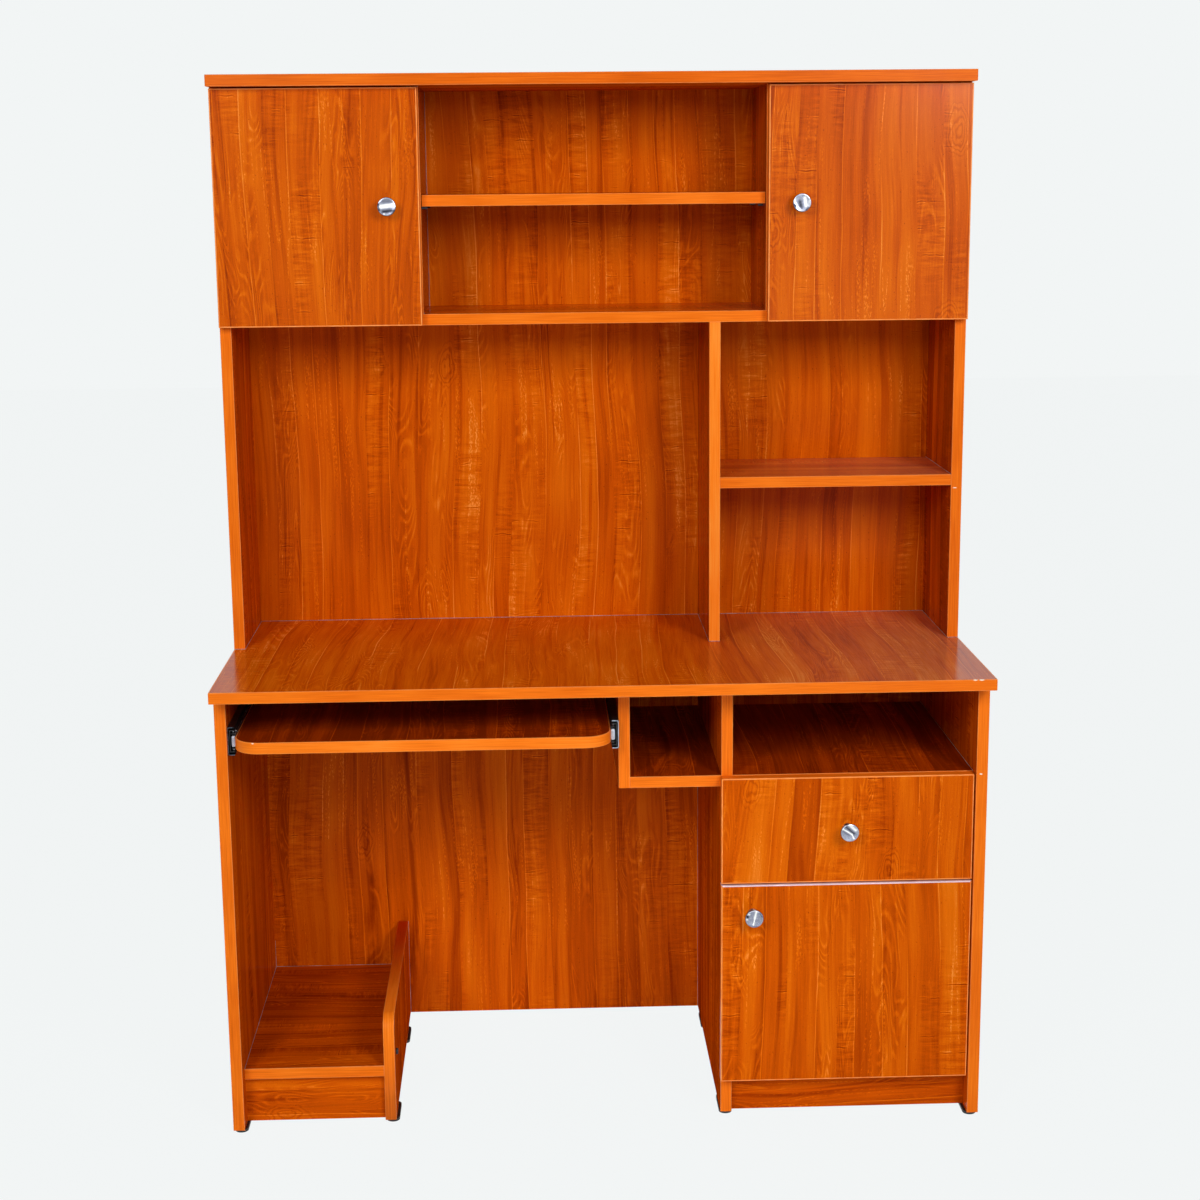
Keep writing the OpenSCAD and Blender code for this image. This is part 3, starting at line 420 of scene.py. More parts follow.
def woodgrain_group():
    """Printed woodgrain. The vector holds the distance along the grain, the distance across it
    and a seed, in metres; Tone makes a board darker or lighter. Strips of their own tone run
    along the board; each carries soft streaks, and some carry ripples and cracks across the
    grain, curved figure lines or a knot."""
    n, given, out = new_group(
        "woodgrain", {"Vector": "Vector", "Tone": "Float"},
        {"Color": "Color", "Gloss": "Float", "Height": "Float"},
    )
    along, across, seed = n.split(given["Vector"])

    def drawn_out(name, side, depth):
        """Place in a pattern that is drawn out along the grain."""
        waves_along, waves_across = WAVES[name]
        return n.vector(n.times(along, waves_along), n.times(side, waves_across), depth)

    def field(name, shift, detail=1.0, rough=0.5, distortion=0.0, side=across):
        """Noise drawn out along the grain, shifted to a part of the pattern of its own."""
        place = drawn_out(name, side, n.math("ADD", seed, shift))
        return n.noise(place, 1.0, detail, rough, distortion)

    # the strips' borders drift slowly sideways
    bent = n.centred(field("drift", 0.0), 0.075, across)
    bent = n.centred(field("sway", 4.0), 0.008, bent)
    swept = n.centred(field("sweep", 6.0), 0.05, bent)
    strips = n.laid(bent, STRIPS, n.times(seed, 3.7))
    pick_tone, pick_ripple, pick_figure = n.split(n.cells(strips, feature="F1")["Color"])
    to_border = n.cells(strips)["Distance"]
    own = n.times(pick_tone, 37.0)

    # clouds, soft streaks and fibres
    cloud = field("cloud", own, 2.0, side=bent)
    broad = field("broad", own, 2.0, 0.5, 0.15, side=bent)
    streak = field("streak", 11.0, 2.0, 0.6, side=swept)
    dark_streak = n.spread(field("dark_streak", own, 2.0, 0.55, side=swept), 0.56, 0.70)
    fibre = field("fibre", 12.0, 1.0, 0.6, side=bent)
    speck = field("speck", 13.0, 1.0, 0.6)

    # pale flecks strung along thin lines
    line = n.apart(field("fleck_line", 15.0, side=bent))
    flecks = n.times(n.fade(line, 0.0, 0.035), n.spread(field("fleck", 16.0), 0.44, 0.64))
    flecks = n.times(flecks, n.spread(field("fleck_patch", 17.0), 0.46, 0.6))

    # ripples across the grain, in patches of some strips
    patch = n.spread(field("ripple_patch", own, side=bent), 0.44, 0.62)
    patch = n.times(patch, n.spread(pick_ripple, 0.35, 0.6))
    ripples = n.times(n.less(field("ripple", own, 3.0, 0.7, 0.5, side=bent)), patch)

    # cracks in the same patches: a dark line with a light one beside it
    crack_at = n.times(n.laid(field("crack_bend", 21.0), 0.006, along), CRACKS)
    to_crack = n.cells(n.laid(own, 0.61, crack_at))["Distance"]
    dark_line = n.fade(to_crack, 0.0, 0.016)
    light_line = n.fade(n.apart(to_crack, 0.03), 0.0, 0.016)
    broken = n.spread(field("crack_break", 23.0), 0.42, 0.55)
    cracks = n.times(n.times(n.less(n.times(light_line, 0.7), dark_line), broken), patch)

    # curved figure: level lines of a slow field, drawn out along the grain
    level = n.math("FRACT", n.times(field("figure", own, 2.0, 0.35, 0.7, side=swept), 23.0))
    figure = n.less(n.fade(n.apart(level), 0.02, 0.3), 0.35)
    figure = n.times(figure, n.spread(field("figure_break", 32.0), 0.35, 0.6, 0.35, 1.0))
    shown = n.times(n.spread(pick_figure, 0.45, 0.65), n.spread(field("figure_patch", 31.0), 0.44, 0.6))
    figure = n.times(figure, shown)
    beads = n.spread(field("bead", 33.0), 0.6, 0.74)

    # oval knots: rings round the middles of a few scattered cells
    knot = n.cells(drawn_out("knot", bent, seed), "3D", "F1")
    from_knot = n.centred(field("knot_rim", 51.0, 2.0), 0.2, knot["Distance"])
    knot_at = n.times(n.fade(from_knot, 0.20, 0.34), n.spread(n.split(knot["Color"])[0], 0.90, 0.91))
    rings = n.apart(n.math("FRACT", n.times(from_knot, 17.0)))
    knots = n.times(n.spread(rings, 0.02, 0.34, -0.8, 0.5), knot_at)

    # pale seams at some strips' borders, the darker side beside them, and pores
    seam = n.times(n.fade(to_border, 0.0, 0.035), n.spread(field("seam", 41.0, side=bent), 0.43, 0.56))
    shade = n.fade(to_border, 0.0, 0.2)
    pore = n.spread(field("pore", 43.0, 0.0), 0.77, 0.84)

    # the tone: how strongly each of these darkens or lightens the print
    tone = 0.49
    for value, weight in (
        (pick_tone, 0.15), (cloud, 0.50), (broad, 0.62), (streak, 0.38), (fibre, 0.24), (speck, 0.26),
    ):
        tone = n.centred(value, weight, tone)
    for value, weight in (
        (dark_streak, -0.18), (flecks, 0.28), (ripples, 0.95), (cracks, 0.36), (figure, 0.28),
        (knots, 0.17), (beads, 0.07), (shade, -0.06), (seam, 0.34), (pore, -0.28),
    ):
        tone = n.laid(value, weight, tone)
    n.put(out["Color"], n.ramp(n.math("ADD", tone, given["Tone"]), [
        (0.0, WOOD_DEEP), (0.25, WOOD_DARK), (0.5, WOOD_MID), (0.75, WOOD_LIGHT), (1.0, WOOD_PALE),
    ]))
    n.put(out["Gloss"], n.less(fibre))
    n.put(out["Height"], n.laid(pore, -0.8, n.times(fibre, 0.6)))
    return n.tree


def finish_material(name, rough=0.4, metal=0.0, specular=0.5):
    """Principled material with its constant values set on the shader's own sockets."""
    material = bpy.data.materials.new(name)
    material.use_nodes = True
    shader = material.node_tree.nodes["Principled BSDF"]
    for label, value in (("Roughness", rough), ("Metallic", metal), ("Specular IOR Level", specular)):
        shader.inputs[label].default_value = value
    return material, Nodes(material.node_tree), shader


def bump(nodes, shader, height, strength, distance):
    """Feeds the shader's normal from a height, given in shares of the distance in metres."""
    node = nodes.add("ShaderNodeBump", {"Strength": strength, "Distance": distance, "Height": height})
    nodes.put(shader.inputs["Normal"], node.outputs[0])


def laminate_material(group, sheen):
    """Woodgrain laminate, read from the board's own grain and tone attributes. A little dust,
    mixed with painted sheen that stands in for the key lamp's broad highlight, lies on the open
    surfaces towards the right: those that face up, at the worktop and above it."""
    material, n, shader = finish_material(f"woodgrain_laminate_{round(sheen * 100)}", specular=sheen)
    inputs = {"Vector": n.read("grain", "Vector"), "Tone": n.read("tone")}
    wood = n.add("ShaderNodeGroup", inputs, node_tree=group)
    x, _, z = n.split(n.place())
    # painted sheen with dust: a pale haze on the open tops towards the right, where the key lamp's
    # highlight falls
    facing_up = n.spread(n.split(n.add("ShaderNodeNewGeometry").outputs["Normal"])[2], 0.9, 0.99)
    open_place = n.times(n.spread(x, 0.1, 0.5), n.spread(z, 0.70, 0.72))
    dust_and_sheen = n.spread(wood.outputs["Gloss"], -0.3, 0.3, 0.06, 0.13)
    dust_and_sheen = n.times(n.times(facing_up, open_place), dust_and_sheen)
    n.put(shader.inputs["Base Color"], n.mix(dust_and_sheen, wood.outputs["Color"], linear(DUST_AND_SHEEN)))
    n.put(shader.inputs["Roughness"], n.laid(wood.outputs["Gloss"], 0.1, 0.17))
    bump(n, shader, wood.outputs["Height"], 0.1, 0.0003)
    return material


def chips_group():
    """Mask of the knocks: 1 where the place lies inside one of the CHIPS' ellipsoids, whose rims
    are made ragged by noise."""
    n, given, out = new_group("chips", {"Vector": "Vector"}, {"Mask": "Float"})
    place = given["Vector"]
    nearest = 9.0
    for centre, half in CHIPS:
        away = n.vector_math("SUBTRACT", place, centre)
        away = n.vector_math("MULTIPLY", away, tuple(1.0 / h for h in half))
        nearest = n.math("MINIMUM", n.vector_math("LENGTH", away, output="Value"), nearest)
    ragged = n.centred(n.noise(place, 800.0, 2.0, 0.7), 1.2, nearest)
    n.put(out["Mask"], n.fade(ragged, 0.7, 1.1))
    return n.tree


def band_material(chips):
    """Plastic edge band: plain orange with fine stripes along its run, with a painted highlight
    along the arrises and where it folds over them, and knocked through to the pale core in a few
    places. The distance from the band's middle line is the dot of place and "across", less
    "level", which is FOLDED where the band is folded over."""
    material, n, shader = finish_material("edge_band", specular=0.08)
    place = n.place()
    stripes = n.noise(n.vector_math("MULTIPLY", place, n.read("run", "Vector")), 1.0, 2.0, 0.6)
    blotch = n.noise(place, 9.0)
    tone = n.math("ADD", n.centred(blotch, 0.5, stripes), n.read("tone"))
    colour = n.ramp(tone, [(0.0, BAND_DEEP), (0.32, BAND_DARK), (0.68, BAND_LIGHT), (1.0, BAND_GLOW)])
    across = n.vector_math("DOT_PRODUCT", place, n.read("across", "Vector"), "Value")
    out_by = n.apart(across, n.read("level"))
    # painted highlight: paler along the arrises and on the folded faces, broken up by noise
    arris_highlight = n.math("ADD", n.spread(out_by, 0.82, 0.93, 0.0, 0.3), n.spread(out_by, 1.2, 1.8, 0.0, 0.45))
    arris_highlight = n.times(arris_highlight, n.spread(n.noise(place, 60.0, 2.0, 0.6), 0.3, 0.7, 0.5, 1.0))
    colour = n.mix(arris_highlight, colour, linear(BAND_HIGHLIGHT))
    knocks = n.add("ShaderNodeGroup", {"Vector": place}, node_tree=chips)
    n.put(shader.inputs["Base Color"], n.mix(knocks.outputs["Mask"], colour, linear(CHIP)))
    n.put(shader.inputs["Roughness"], n.spread(blotch, 0.3, 0.7, 0.28, 0.4))
    bump(n, shader, stripes, 0.1, 0.0002)
    return material


def knob_material():
    """Turned steel: fine rings from the lathe under strokes of light and shadow. The piece's own
    attributes give the strokes' sum and the distance from the knob's middle."""
    material, n, shader = finish_material("knob_steel", rough=0.3, metal=1.0)
    cloud = n.noise(n.place(), 260.0, 3.0, 0.6)
    lines = n.noise(n.vector(n.times(n.read("ring"), 240.0)), 1.0, 2.0, 0.7)
    tone = n.centred(cloud, 0.35, n.centred(lines, 0.25, 0.5))
    tone = n.laid(n.read("gleam"), 0.5, tone)
    colour = n.ramp(tone, [(0.0, KNOB_DARK), (0.5, KNOB_GREY), (0.95, KNOB_WHITE)])
    n.put(shader.inputs["Base Color"], colour)
    n.put(shader.inputs["Roughness"], n.spread(lines, 0.2, 0.8, 0.22, 0.36))
    bump(n, shader, lines, 0.12, 0.0001)
    return material


def speckled_material(name, dark, light, rough, metal, waves):
    """Surface with fine mottling in colour, gloss and height at one scale."""
    material, n, shader = finish_material(name, rough=rough, metal=metal)
    place = n.place()
    grain = n.noise(place, waves, 3.0, 0.6)
    tone = n.centred(n.noise(place, waves * 0.06), 0.8, grain)
    n.put(shader.inputs["Base Color"], n.ramp(tone, [(0.3, dark), (0.72, light)]))
    n.put(shader.inputs["Roughness"], n.spread(tone, 0.3, 0.7, rough - 0.08, rough + 0.08))
    bump(n, shader, grain, 0.15, 0.0002)
    return material


def corners(node):
    """Lowest and highest corner of a CAD node at rest."""
    return tuple(np.array(corner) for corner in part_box(node))


def side_name(sign, axis):
    """Name of one side of a board, such as "-y"."""
    return sign + "xyz"[axis]


def faces_at(node, sides):
    """Places of some sides of a CAD node, such as "-y +z", each along its own axis."""
    return [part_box(node)["-+".index(sign)]["xyz".index(axis)] for sign, axis in sides.split()]


def body_of_node(node):
    for body, members in frame["record"]["behaviour"]["bodies"].items():
        if node in members:
            return body
    raise KeyError(node)


def ways_on(axis, size):
    """The other two axes, the one on which the size is larger first."""
    return sorted({0, 1, 2} - {axis}, key=lambda b: -size[b])


def quad_grid(rows, cols):
    """Quads of a rows x cols grid of vertices."""
    k = (np.arange(rows - 1)[:, None] * cols + np.arange(cols - 1)[None, :]).ravel()
    return np.column_stack([k, k + 1, k + cols + 1, k + cols])


def stops_along(lo, hi, marks):
    """Places along one axis of a board: its ends, and the inner borders of the bands that it has
    at either end."""
    return np.array([lo] + [lo + BAND] * marks[0] + [hi - BAND] * marks[1] + [hi])


def grain_vectors(points, grain, seed):
    """(distance along the grain, sum of the other two places, seed) of each point, with both
    distances shifted by the seed."""
    along = points[:, grain]
    across = points.sum(axis=1) - along
    on_by, out_by = (step * seed for step in SEED_STEP)
    return np.column_stack([along + on_by, across + out_by, np.full(len(points), float(seed))])


def run_vector(axis):
    """Scale of the band's stripes: drawn out along one axis and fine across the others."""
    scale = np.full(3, STRIPES_ACROSS)
    scale[axis] = STRIPES_ALONG
    return scale


def add_piece(name, points, faces, slots, materials):
    """Mesh object at the origin. Slots give each face's material, or None the first for all."""
    mesh = bpy.data.meshes.new(name)
    mesh.from_pydata(points.tolist(), [], [list(f) for f in faces])
    for material in materials:
        mesh.materials.append(material)
    if slots is not None:
        mesh.polygons.foreach_set("material_index", np.asarray(slots, dtype=np.int32))
    mesh.update()
    piece = bpy.data.objects.new(name, mesh)
    bpy.context.scene.collection.objects.link(piece)
    return piece


def set_values(mesh, name, domain, values):
    """Attribute with one number or one vector for each point, edge or face."""
    values = np.asarray(values, dtype=np.float32)
    kind, part = ("FLOAT", "value") if values.ndim == 1 else ("FLOAT_VECTOR", "vector")
    mesh.attributes.new(name, kind, domain).data.foreach_set(part, values.ravel())


def board(node, grain, banded, seed, bare=""):
    """Box of a CAD board with 2 mm edge bands on the banded sides, such as "-y". Each side of the
    box is a grid over the places of the bands' borders, and the grids are welded at their rims.
    The arrises beside a banded side are rounded by a weighted bevel. A bare side's band is pale,
    and painted paler still as painted light."""
    lo, hi = corners(node)
    marks = [[side_name(sign, a) in banded for sign in "-+"] for a in range(3)]
    stops = [stops_along(*ends) for ends in zip(lo, hi, marks)]
    points, faces, values = [], [], []
    count = 0
    for axis in range(3):
        u, v = (axis + 1) % 3, (axis + 2) % 3
        for end, tag in ((lo[axis], "-"), (hi[axis], "+")):
            gu, gv = np.meshgrid(stops[u], stops[v], indexing="ij")
            side = np.full((gu.size, 3), end)
            side[:, u], side[:, v] = gu.ravel(), gv.ravel()
            quads = quad_grid(len(stops[u]), len(stops[v]))
            middle = side[quads].mean(axis=1)
            if tag == "+":
                quads = quads[:, ::-1]
            slot, run = np.zeros((2, len(quads)), dtype=int)
            across = np.zeros((len(quads), 3))
            level = np.full(len(quads), FOLDED)
            for a in (u, v):
                for mark, edge in (("-", lo[a]), ("+", hi[a])):
                    if side_name(mark, a) in banded:
                        near = np.abs(middle[:, a] - edge) < BAND
                        slot[near] = 2 if side_name(mark, a) in bare else 1
                        run[near] = ways_on(a, hi - lo)[0]
            if side_name(tag, axis) in banded:
                long_way, short_way = ways_on(axis, hi - lo)
                half = (hi[short_way] - lo[short_way]) / 2
                slot[:] = 1
                run[:] = long_way
                across[:, short_way] = 1 / half
                level[:] = (hi[short_way] + lo[short_way]) / 2 / half
            if side_name(tag, axis) in bare:
                slot[:] = 2
            points.append(side)
            faces.append(quads + count)
            values.append(np.column_stack([slot, run, across, level]))
            count += len(side)
    points = np.vstack(points)
    values = np.vstack(values)
    rounded = np.round(points, WELD_DIGITS)
    first, back = np.unique(rounded, axis=0, return_index=True, return_inverse=True)[1:]
    points = points[first]
    faces = back.ravel()[np.vstack(faces)]
    finishes = (LAMINATES[BOARDS[node][-1]], BAND_FINISH, FINISHES["bare_edge_painted_light"])
    piece = add_piece(node + "_board", points, faces, values[:, 0], finishes)
    runs = np.array([run_vector(a) for a in range(3)])[values[:, 1].astype(int)]
    mark_faces(piece.data, node, values[:, 0], runs, values[:, 2:5], values[:, 5])
    set_values(piece.data, "grain", "POINT", grain_vectors(points, grain, seed))
    weight_arrises(piece.data, lo, hi, marks)
    finish_board(piece, node)


def mark_faces(mesh, node, slots, runs, across, level):
    """Gives each face its tone, and to the bands their run and their distance from the middle."""
    _, _, tone, band_light_and_shade, _ = BOARDS[node]
    set_values(mesh, "run", "FACE", runs)
    set_values(mesh, "across", "FACE", across)
    set_values(mesh, "level", "FACE", level)
    # the board's and its bands' tones, mostly painted light and shade
    set_values(mesh, "tone", "FACE", np.where(slots == 1, band_light_and_shade, tone))


def weight_arrises(mesh, lo, hi, marks):
    """Bevel weight 1 on the box edges that border a banded side: edges that lie on two sides of
    the box, one of them marked."""
    places = np.array([point.co for point in mesh.vertices])
    pair = places[np.array([edge.vertices[:] for edge in mesh.edges])]
    on = np.all(np.abs(pair[:, :, :, None] - np.column_stack([lo, hi])) < TOUCHING, axis=1)
    arris = (on.sum(axis=(1, 2)) >= 2) & np.any(on & np.array(marks), axis=(1, 2))
    set_values(mesh, "bevel_weight_edge", "EDGE", arris)


def finish_board(piece, node):
    """Rounds the arrises that carry bevel weight, and puts the piece in the node's place."""
    bevel = piece.modifiers.new("arris", "BEVEL")
    bevel.limit_method = "WEIGHT"
    bevel.width = ARRIS
    bevel.segments = 3
    bevel.use_clamp_overlap = True
    stand_for(piece, node)


def stand_for(piece, node):
    """The piece takes a CAD node's place: its body and its visibility."""
    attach(piece, body_of_node(node))
    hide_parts(node)


def arc_points(cx, cy, r, start, end, steps=CORNER_STEPS):
    """Points on a circle from one angle to another, in degrees."""
    t = np.radians(np.linspace(start, end, steps))
    return np.column_stack([cx + r * np.cos(t), cy + r * np.sin(t)])


def offset_outline(outline, inset):
    """Closed outline moved inwards by inset along the mean of its neighbouring edge normals."""
    before = outline - np.roll(outline, 1, axis=0)
    after = np.roll(outline, -1, axis=0) - outline
    normals = []
    for edge in (before, after):
        edge = edge / np.linalg.norm(edge, axis=1)[:, None]
        normals.append(np.column_stack([-edge[:, 1], edge[:, 0]]))
    mean = normals[0] + normals[1]
    length = np.einsum("ij,ij->i", mean, normals[0])
    return outline + inset * mean / length[:, None]


def rounded_board(node, outline, flat_axis, grain, seed):
    """Board with an edge band all round. The band's section, a flat with two rounded arrises and
    2 mm returns on both faces, is carried along the closed outline; the faces fill its inside."""
    lo, hi = corners(node)
    z0, z1 = lo[flat_axis], hi[flat_axis]
    a, b = [k for k in range(3) if k != flat_axis]
    turns = np.radians(np.linspace(0, 90, 5))
    inset = [BAND] + list(ARRIS * (1 - np.sin(turns)))
    rise = [0.0] + list(ARRIS * (1 - np.cos(turns)))
    inset = inset + inset[::-1]
    rise = [z0 + r for r in rise] + [z1 - r for r in rise[::-1]]
    rings = []
    for step, z in zip(inset, rise):
        ring = np.empty((len(outline), 3))
        moved = offset_outline(outline, step)
        ring[:, a], ring[:, b], ring[:, flat_axis] = moved[:, 0], moved[:, 1], z
        rings.append(ring)
    points, faces = skin(np.array(rings))
    n = len(outline)
    bands = (len(rings) - 1) * n
    slots = np.array([1] * bands + [0, 0])
    piece = add_piece(node + "_board", points, faces, slots, (LAMINATES[BOARDS[node][-1]], BAND_FINISH))
    mesh = piece.data
    set_values(mesh, "grain", "POINT", grain_vectors(points, grain, seed))
    runs = np.full((len(faces), 3), STRIPES_ALONG)
    runs[:, flat_axis] = STRIPES_ACROSS
    half = (z1 - z0) / 2
    on_edge = (np.arange(len(faces)) >= n) & (np.arange(len(faces)) < bands - n)
    across = np.zeros((len(faces), 3))
    across[on_edge, flat_axis] = 1 / half
    mark_faces(mesh, node, slots, runs, across, np.where(on_edge, (z0 + z1) / 2 / half, FOLDED))
    mesh.polygons.foreach_set("use_smooth", slots == 1)
    outward(piece)
    stand_for(piece, node)


def outward(piece):
    """Turns all of the piece's faces outwards."""
    shape = bmesh.new()
    shape.from_mesh(piece.data)
    bmesh.ops.recalc_face_normals(shape, faces=shape.faces)
    shape.to_mesh(piece.data)
    shape.free()


def all_boards():
    """Makes the boards. The seed of a board's figure is its place in the list."""
    rounded = {"keyboard_tray": (tray_outline(), 2), "cpu_divider": (divider_outline(), 0)}
    for seed, (node, (grain, banded, *_)) in enumerate(BOARDS.items(), 1):
        if node in rounded:
            rounded_board(node, *rounded[node], grain, seed)
        else:
            board(node, grain, banded.split(), seed, BARE_SIDES.get(node, ""))


def tray_outline():
    """Keyboard tray in X and Y, with its front corners rounded."""
    lo, hi = corners("keyboard_tray")
    r = TRAY_CORNER
    return np.vstack([
        arc_points(lo[0] + r, lo[1] + r, r, 180, 270),
        arc_points(hi[0] - r, lo[1] + r, r, 270, 360),
        [[hi[0], hi[1]], [lo[0], hi[1]]],
    ])


def divider_outline():
    """Low divider in Y and Z, with its upper front corner rounded."""
    lo, hi = corners("cpu_divider")
    r = DIVIDER_CORNER
    return np.vstack([
        [[lo[1], lo[2]], [hi[1], lo[2]], [hi[1], hi[2]]],
        arc_points(lo[1] + r, hi[2] - r, r, 90, 180),
    ])


def skin(rings):
    """Surface over closed rings of points, one after the other, with both end rings filled."""
    m, n = rings.shape[:2]
    i = np.arange(n)
    rows = (np.arange(m - 1) * n)[:, None]
    quads = np.stack([rows + i, rows + (i + 1) % n, rows + n + (i + 1) % n, rows + n + i], axis=2)
    ends = [list(range(n))[::-1], list(range((m - 1) * n, m * n))]
    return rings.reshape(-1, 3), quads.reshape(-1, 4).tolist() + ends


def lathe(profile, sides):
    """Profile of (radius, distance out) turned full circle: the point at angle t is
    (r cos t, r sin t, out)."""
    profile = np.asarray(profile)
    t = np.linspace(0, 2 * math.pi, sides, endpoint=False)
    r, out = profile[:, 0][:, None], profile[:, 1][:, None]
    height = np.broadcast_to(out, (len(profile), sides))
    return skin(np.stack([r * np.cos(t), r * np.sin(t), height], axis=2))


def slotted_head(r, height, slot, fall=0.55, cut=0.5, steps=21):
    """Screw head over the unit square: (s, t) is pressed into a disc by x = s sqrt(1 - t t / 2)
    and y = t sqrt(1 - s s / 2). The height is a dome, lower by its share fall at the rim, less
    the slot, which takes the share cut of it."""
    across = np.linspace(-1, 1, steps)
    s, t = np.meshgrid(across, across, indexing="ij")
    x, y = s * np.sqrt(1 - t * t / 2), t * np.sqrt(1 - s * s / 2)
    dome = height * (1 - fall * (x * x + y * y))
    dome = dome - np.where(np.abs(x) * r < slot, cut * height, 0.0)
    top = np.stack([x * r, y * r, dome], axis=2).reshape(-1, 3)
    foot = top * [1, 1, 0]
    quads = quad_grid(steps, steps)
    rim = np.concatenate([
        np.arange(steps), np.arange(2 * steps - 1, steps * steps, steps),
        np.arange(steps * steps - 2, steps * (steps - 1) - 1, -1),
        np.arange(steps * (steps - 2), 0, -steps),
    ])
    skirt = np.column_stack([rim, np.roll(rim, -1), np.roll(rim, -1) + len(top), rim + len(top)])
    return np.vstack([top, foot]), np.vstack([quads, quads[:, ::-1] + len(top), skirt]).tolist()


def strokes_at(x, y, strokes):
    """Sum over the strokes of strength times exp(-(d / width) squared), where d is the distance
    of (x, y) from the stroke's line between its ends."""
    total = np.zeros(len(x))
    for x0, y0, x1, y1, width, strength in strokes:
        dx, dy = x1 - x0, y1 - y0
        t = np.clip(((x - x0) * dx + (y - y0) * dy) / (dx * dx + dy * dy), 0, 1)
        far = np.hypot(x - x0 - t * dx, y - y0 - t * dy)
        total += strength * np.exp(-(far / width) ** 2)
    return total


def knob_profile(r):
    """(Radius, distance out) from the foot's back over the neck, the body and the rim to the
    middle of the dished face."""
    foot = np.array(KNOB_FOOT) + [KNOB_NECK, 0.0]
    t = np.radians(np.linspace(0, 90, 12))
    body_r = KNOB_NECK + (r - KNOB_RIM - KNOB_NECK) * (1 - np.cos(t))
    body_l = KNOB_LENGTH - 2 * KNOB_RIM - KNOB_BODY_GAP - KNOB_NECK_END
    body_out = KNOB_NECK_END + body_l * np.sin(t)
    u = np.radians(np.linspace(-90, 90, 11))[1:]
    rim_r = r - KNOB_RIM + KNOB_RIM * np.cos(u)
    rim_out = KNOB_LENGTH - KNOB_RIM + KNOB_RIM * np.sin(u)
    face_r = np.linspace(r - KNOB_RIM, KNOB_MIDDLE, 22)[1:]
    face_out = KNOB_LENGTH - KNOB_DISH * (1 - (face_r / face_r[0]) ** 4)
    return np.vstack([
        foot, np.column_stack([body_r, body_out]), np.column_stack([rim_r, rim_out]),
        np.column_stack([face_r, face_out]),
    ])


def knob(node, strokes):
    """Knob turned about a line along -Y: foot, neck, swelling body, rounded rim and dished face,
    with the screw that comes through the door from behind. The rim has a line of light of its
    own, and a shadow outside it."""
    lo, hi = corners(node)
    r = (hi[0] - lo[0]) / 2
    centre = np.array([(lo[0] + hi[0]) / 2, lo[1] + KNOB_LENGTH, (lo[2] + hi[2]) / 2])
    points, faces = lathe(knob_profile(r), 72)
    x, y = points[:, 0] / r, points[:, 1] / r
    radius = np.hypot(x, y)
    rim_light, rim_shade, rim_w = 0.92, 0.95, 0.03
    gleam = strokes_at(x, y, strokes) + 0.3 * np.exp(-((radius - rim_light) / rim_w) ** 2)
    gleam = gleam - 1.6 * np.clip((radius - rim_shade) / rim_w, 0, 1)
    screw, screw_faces = slotted_head(SCREW_HEAD_R, SCREW_HEAD_H, SCREW_SLOT)
    shank, shank_faces = lathe([(SCREW_R, 0.0), (SCREW_R, DOOR_T)], 16)
    screw[:, 2] = -DOOR_T - screw[:, 2]
    shank[:, 2] = -DOOR_T + shank[:, 2]
    for more, start in ((screw_faces, len(points)), (shank_faces, len(points) + len(screw))):
        faces = faces + [[k + start for k in face] for face in more]
    local = np.vstack([points, screw, shank])
    plain = np.zeros(len(local) - len(points))
    place = centre + local[:, [0, 2, 1]] * [1, -1, 1]
    piece = add_piece(node + "_turned", place, faces, None, (KNOB_STEEL,))
    set_values(piece.data, "gleam", "POINT", np.concatenate([gleam, plain]))
    set_values(piece.data, "ring", "POINT", np.concatenate([radius, plain]))
    piece.data.polygons.foreach_set("use_smooth", np.full(len(faces), True))
    outward(piece)
    stand_for(piece, node)


def fitting(name, points, faces, finish, body, smooth=False):
    """Small piece that rides on a body and stands for no CAD node."""
    piece = add_piece(name, points, faces, None, (FINISHES[finish],))
    piece.data.polygons.foreach_set("use_smooth", np.full(len(faces), smooth))
    outward(piece)
    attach(piece, body)


def hole_shade_disc():
    """Black disc on the divider's outer face, painted shade for a hole there: a short stem with a
    rounded rim and a dished face.
    """
    t = np.radians(np.linspace(0, 90, 6))
    rim = np.column_stack([HOLE_SHADE_R - HOLE_SHADE_RIM * (1 - np.cos(t)), HOLE_SHADE_STEM + HOLE_SHADE_RIM * np.sin(t)])
    points, faces = lathe(np.vstack([[[HOLE_SHADE_R, 0.0]], rim, [[HOLE_SHADE_R * 0.4, HOLE_SHADE_FACE]]]), 32)
    [wall] = faces_at("cpu_divider", "+x")
    place = np.column_stack([wall + points[:, 2], points[:, 0] + HOLE_SHADE_AT[0], points[:, 1] + HOLE_SHADE_AT[1]])
    # a dark piece put where the face shows only the shade inside a hole
    fitting("divider_hole_shade", place, faces, "glide_plastic", body_of_node("cpu_divider"))


def bead(name, start, end, ways, body, finish="joint_bead"):
    """Pale line in the corner between two boards. Its section is a hollow fillet between the two
    ways out of the corner; its width swells and shrinks a little along the run, by two sines."""
    start, end = np.array(start), np.array(end)
    stations = np.linspace(0, 1, 48)
    run = np.linalg.norm(end - start) * stations
    width = LINE_W * (0.82 + 0.12 * np.sin(run * 47.0) + 0.08 * np.sin(run * 171.0 + 1.0))
    a, b = (np.array(w, dtype=float) for w in ways)
    section = np.array([[0.0, 0.0], [1.0, 0.0], [0.45, 0.12], [0.12, 0.45], [0.0, 1.0]])
    offsets = section[:, 0:1] * a + section[:, 1:2] * b
    line = start + (end - start) * stations[:, None]
    points, faces = skin(line[:, None, :] + width[:, None, None] * offsets[None, :, :])
    fitting(name, points, faces, finish, body)


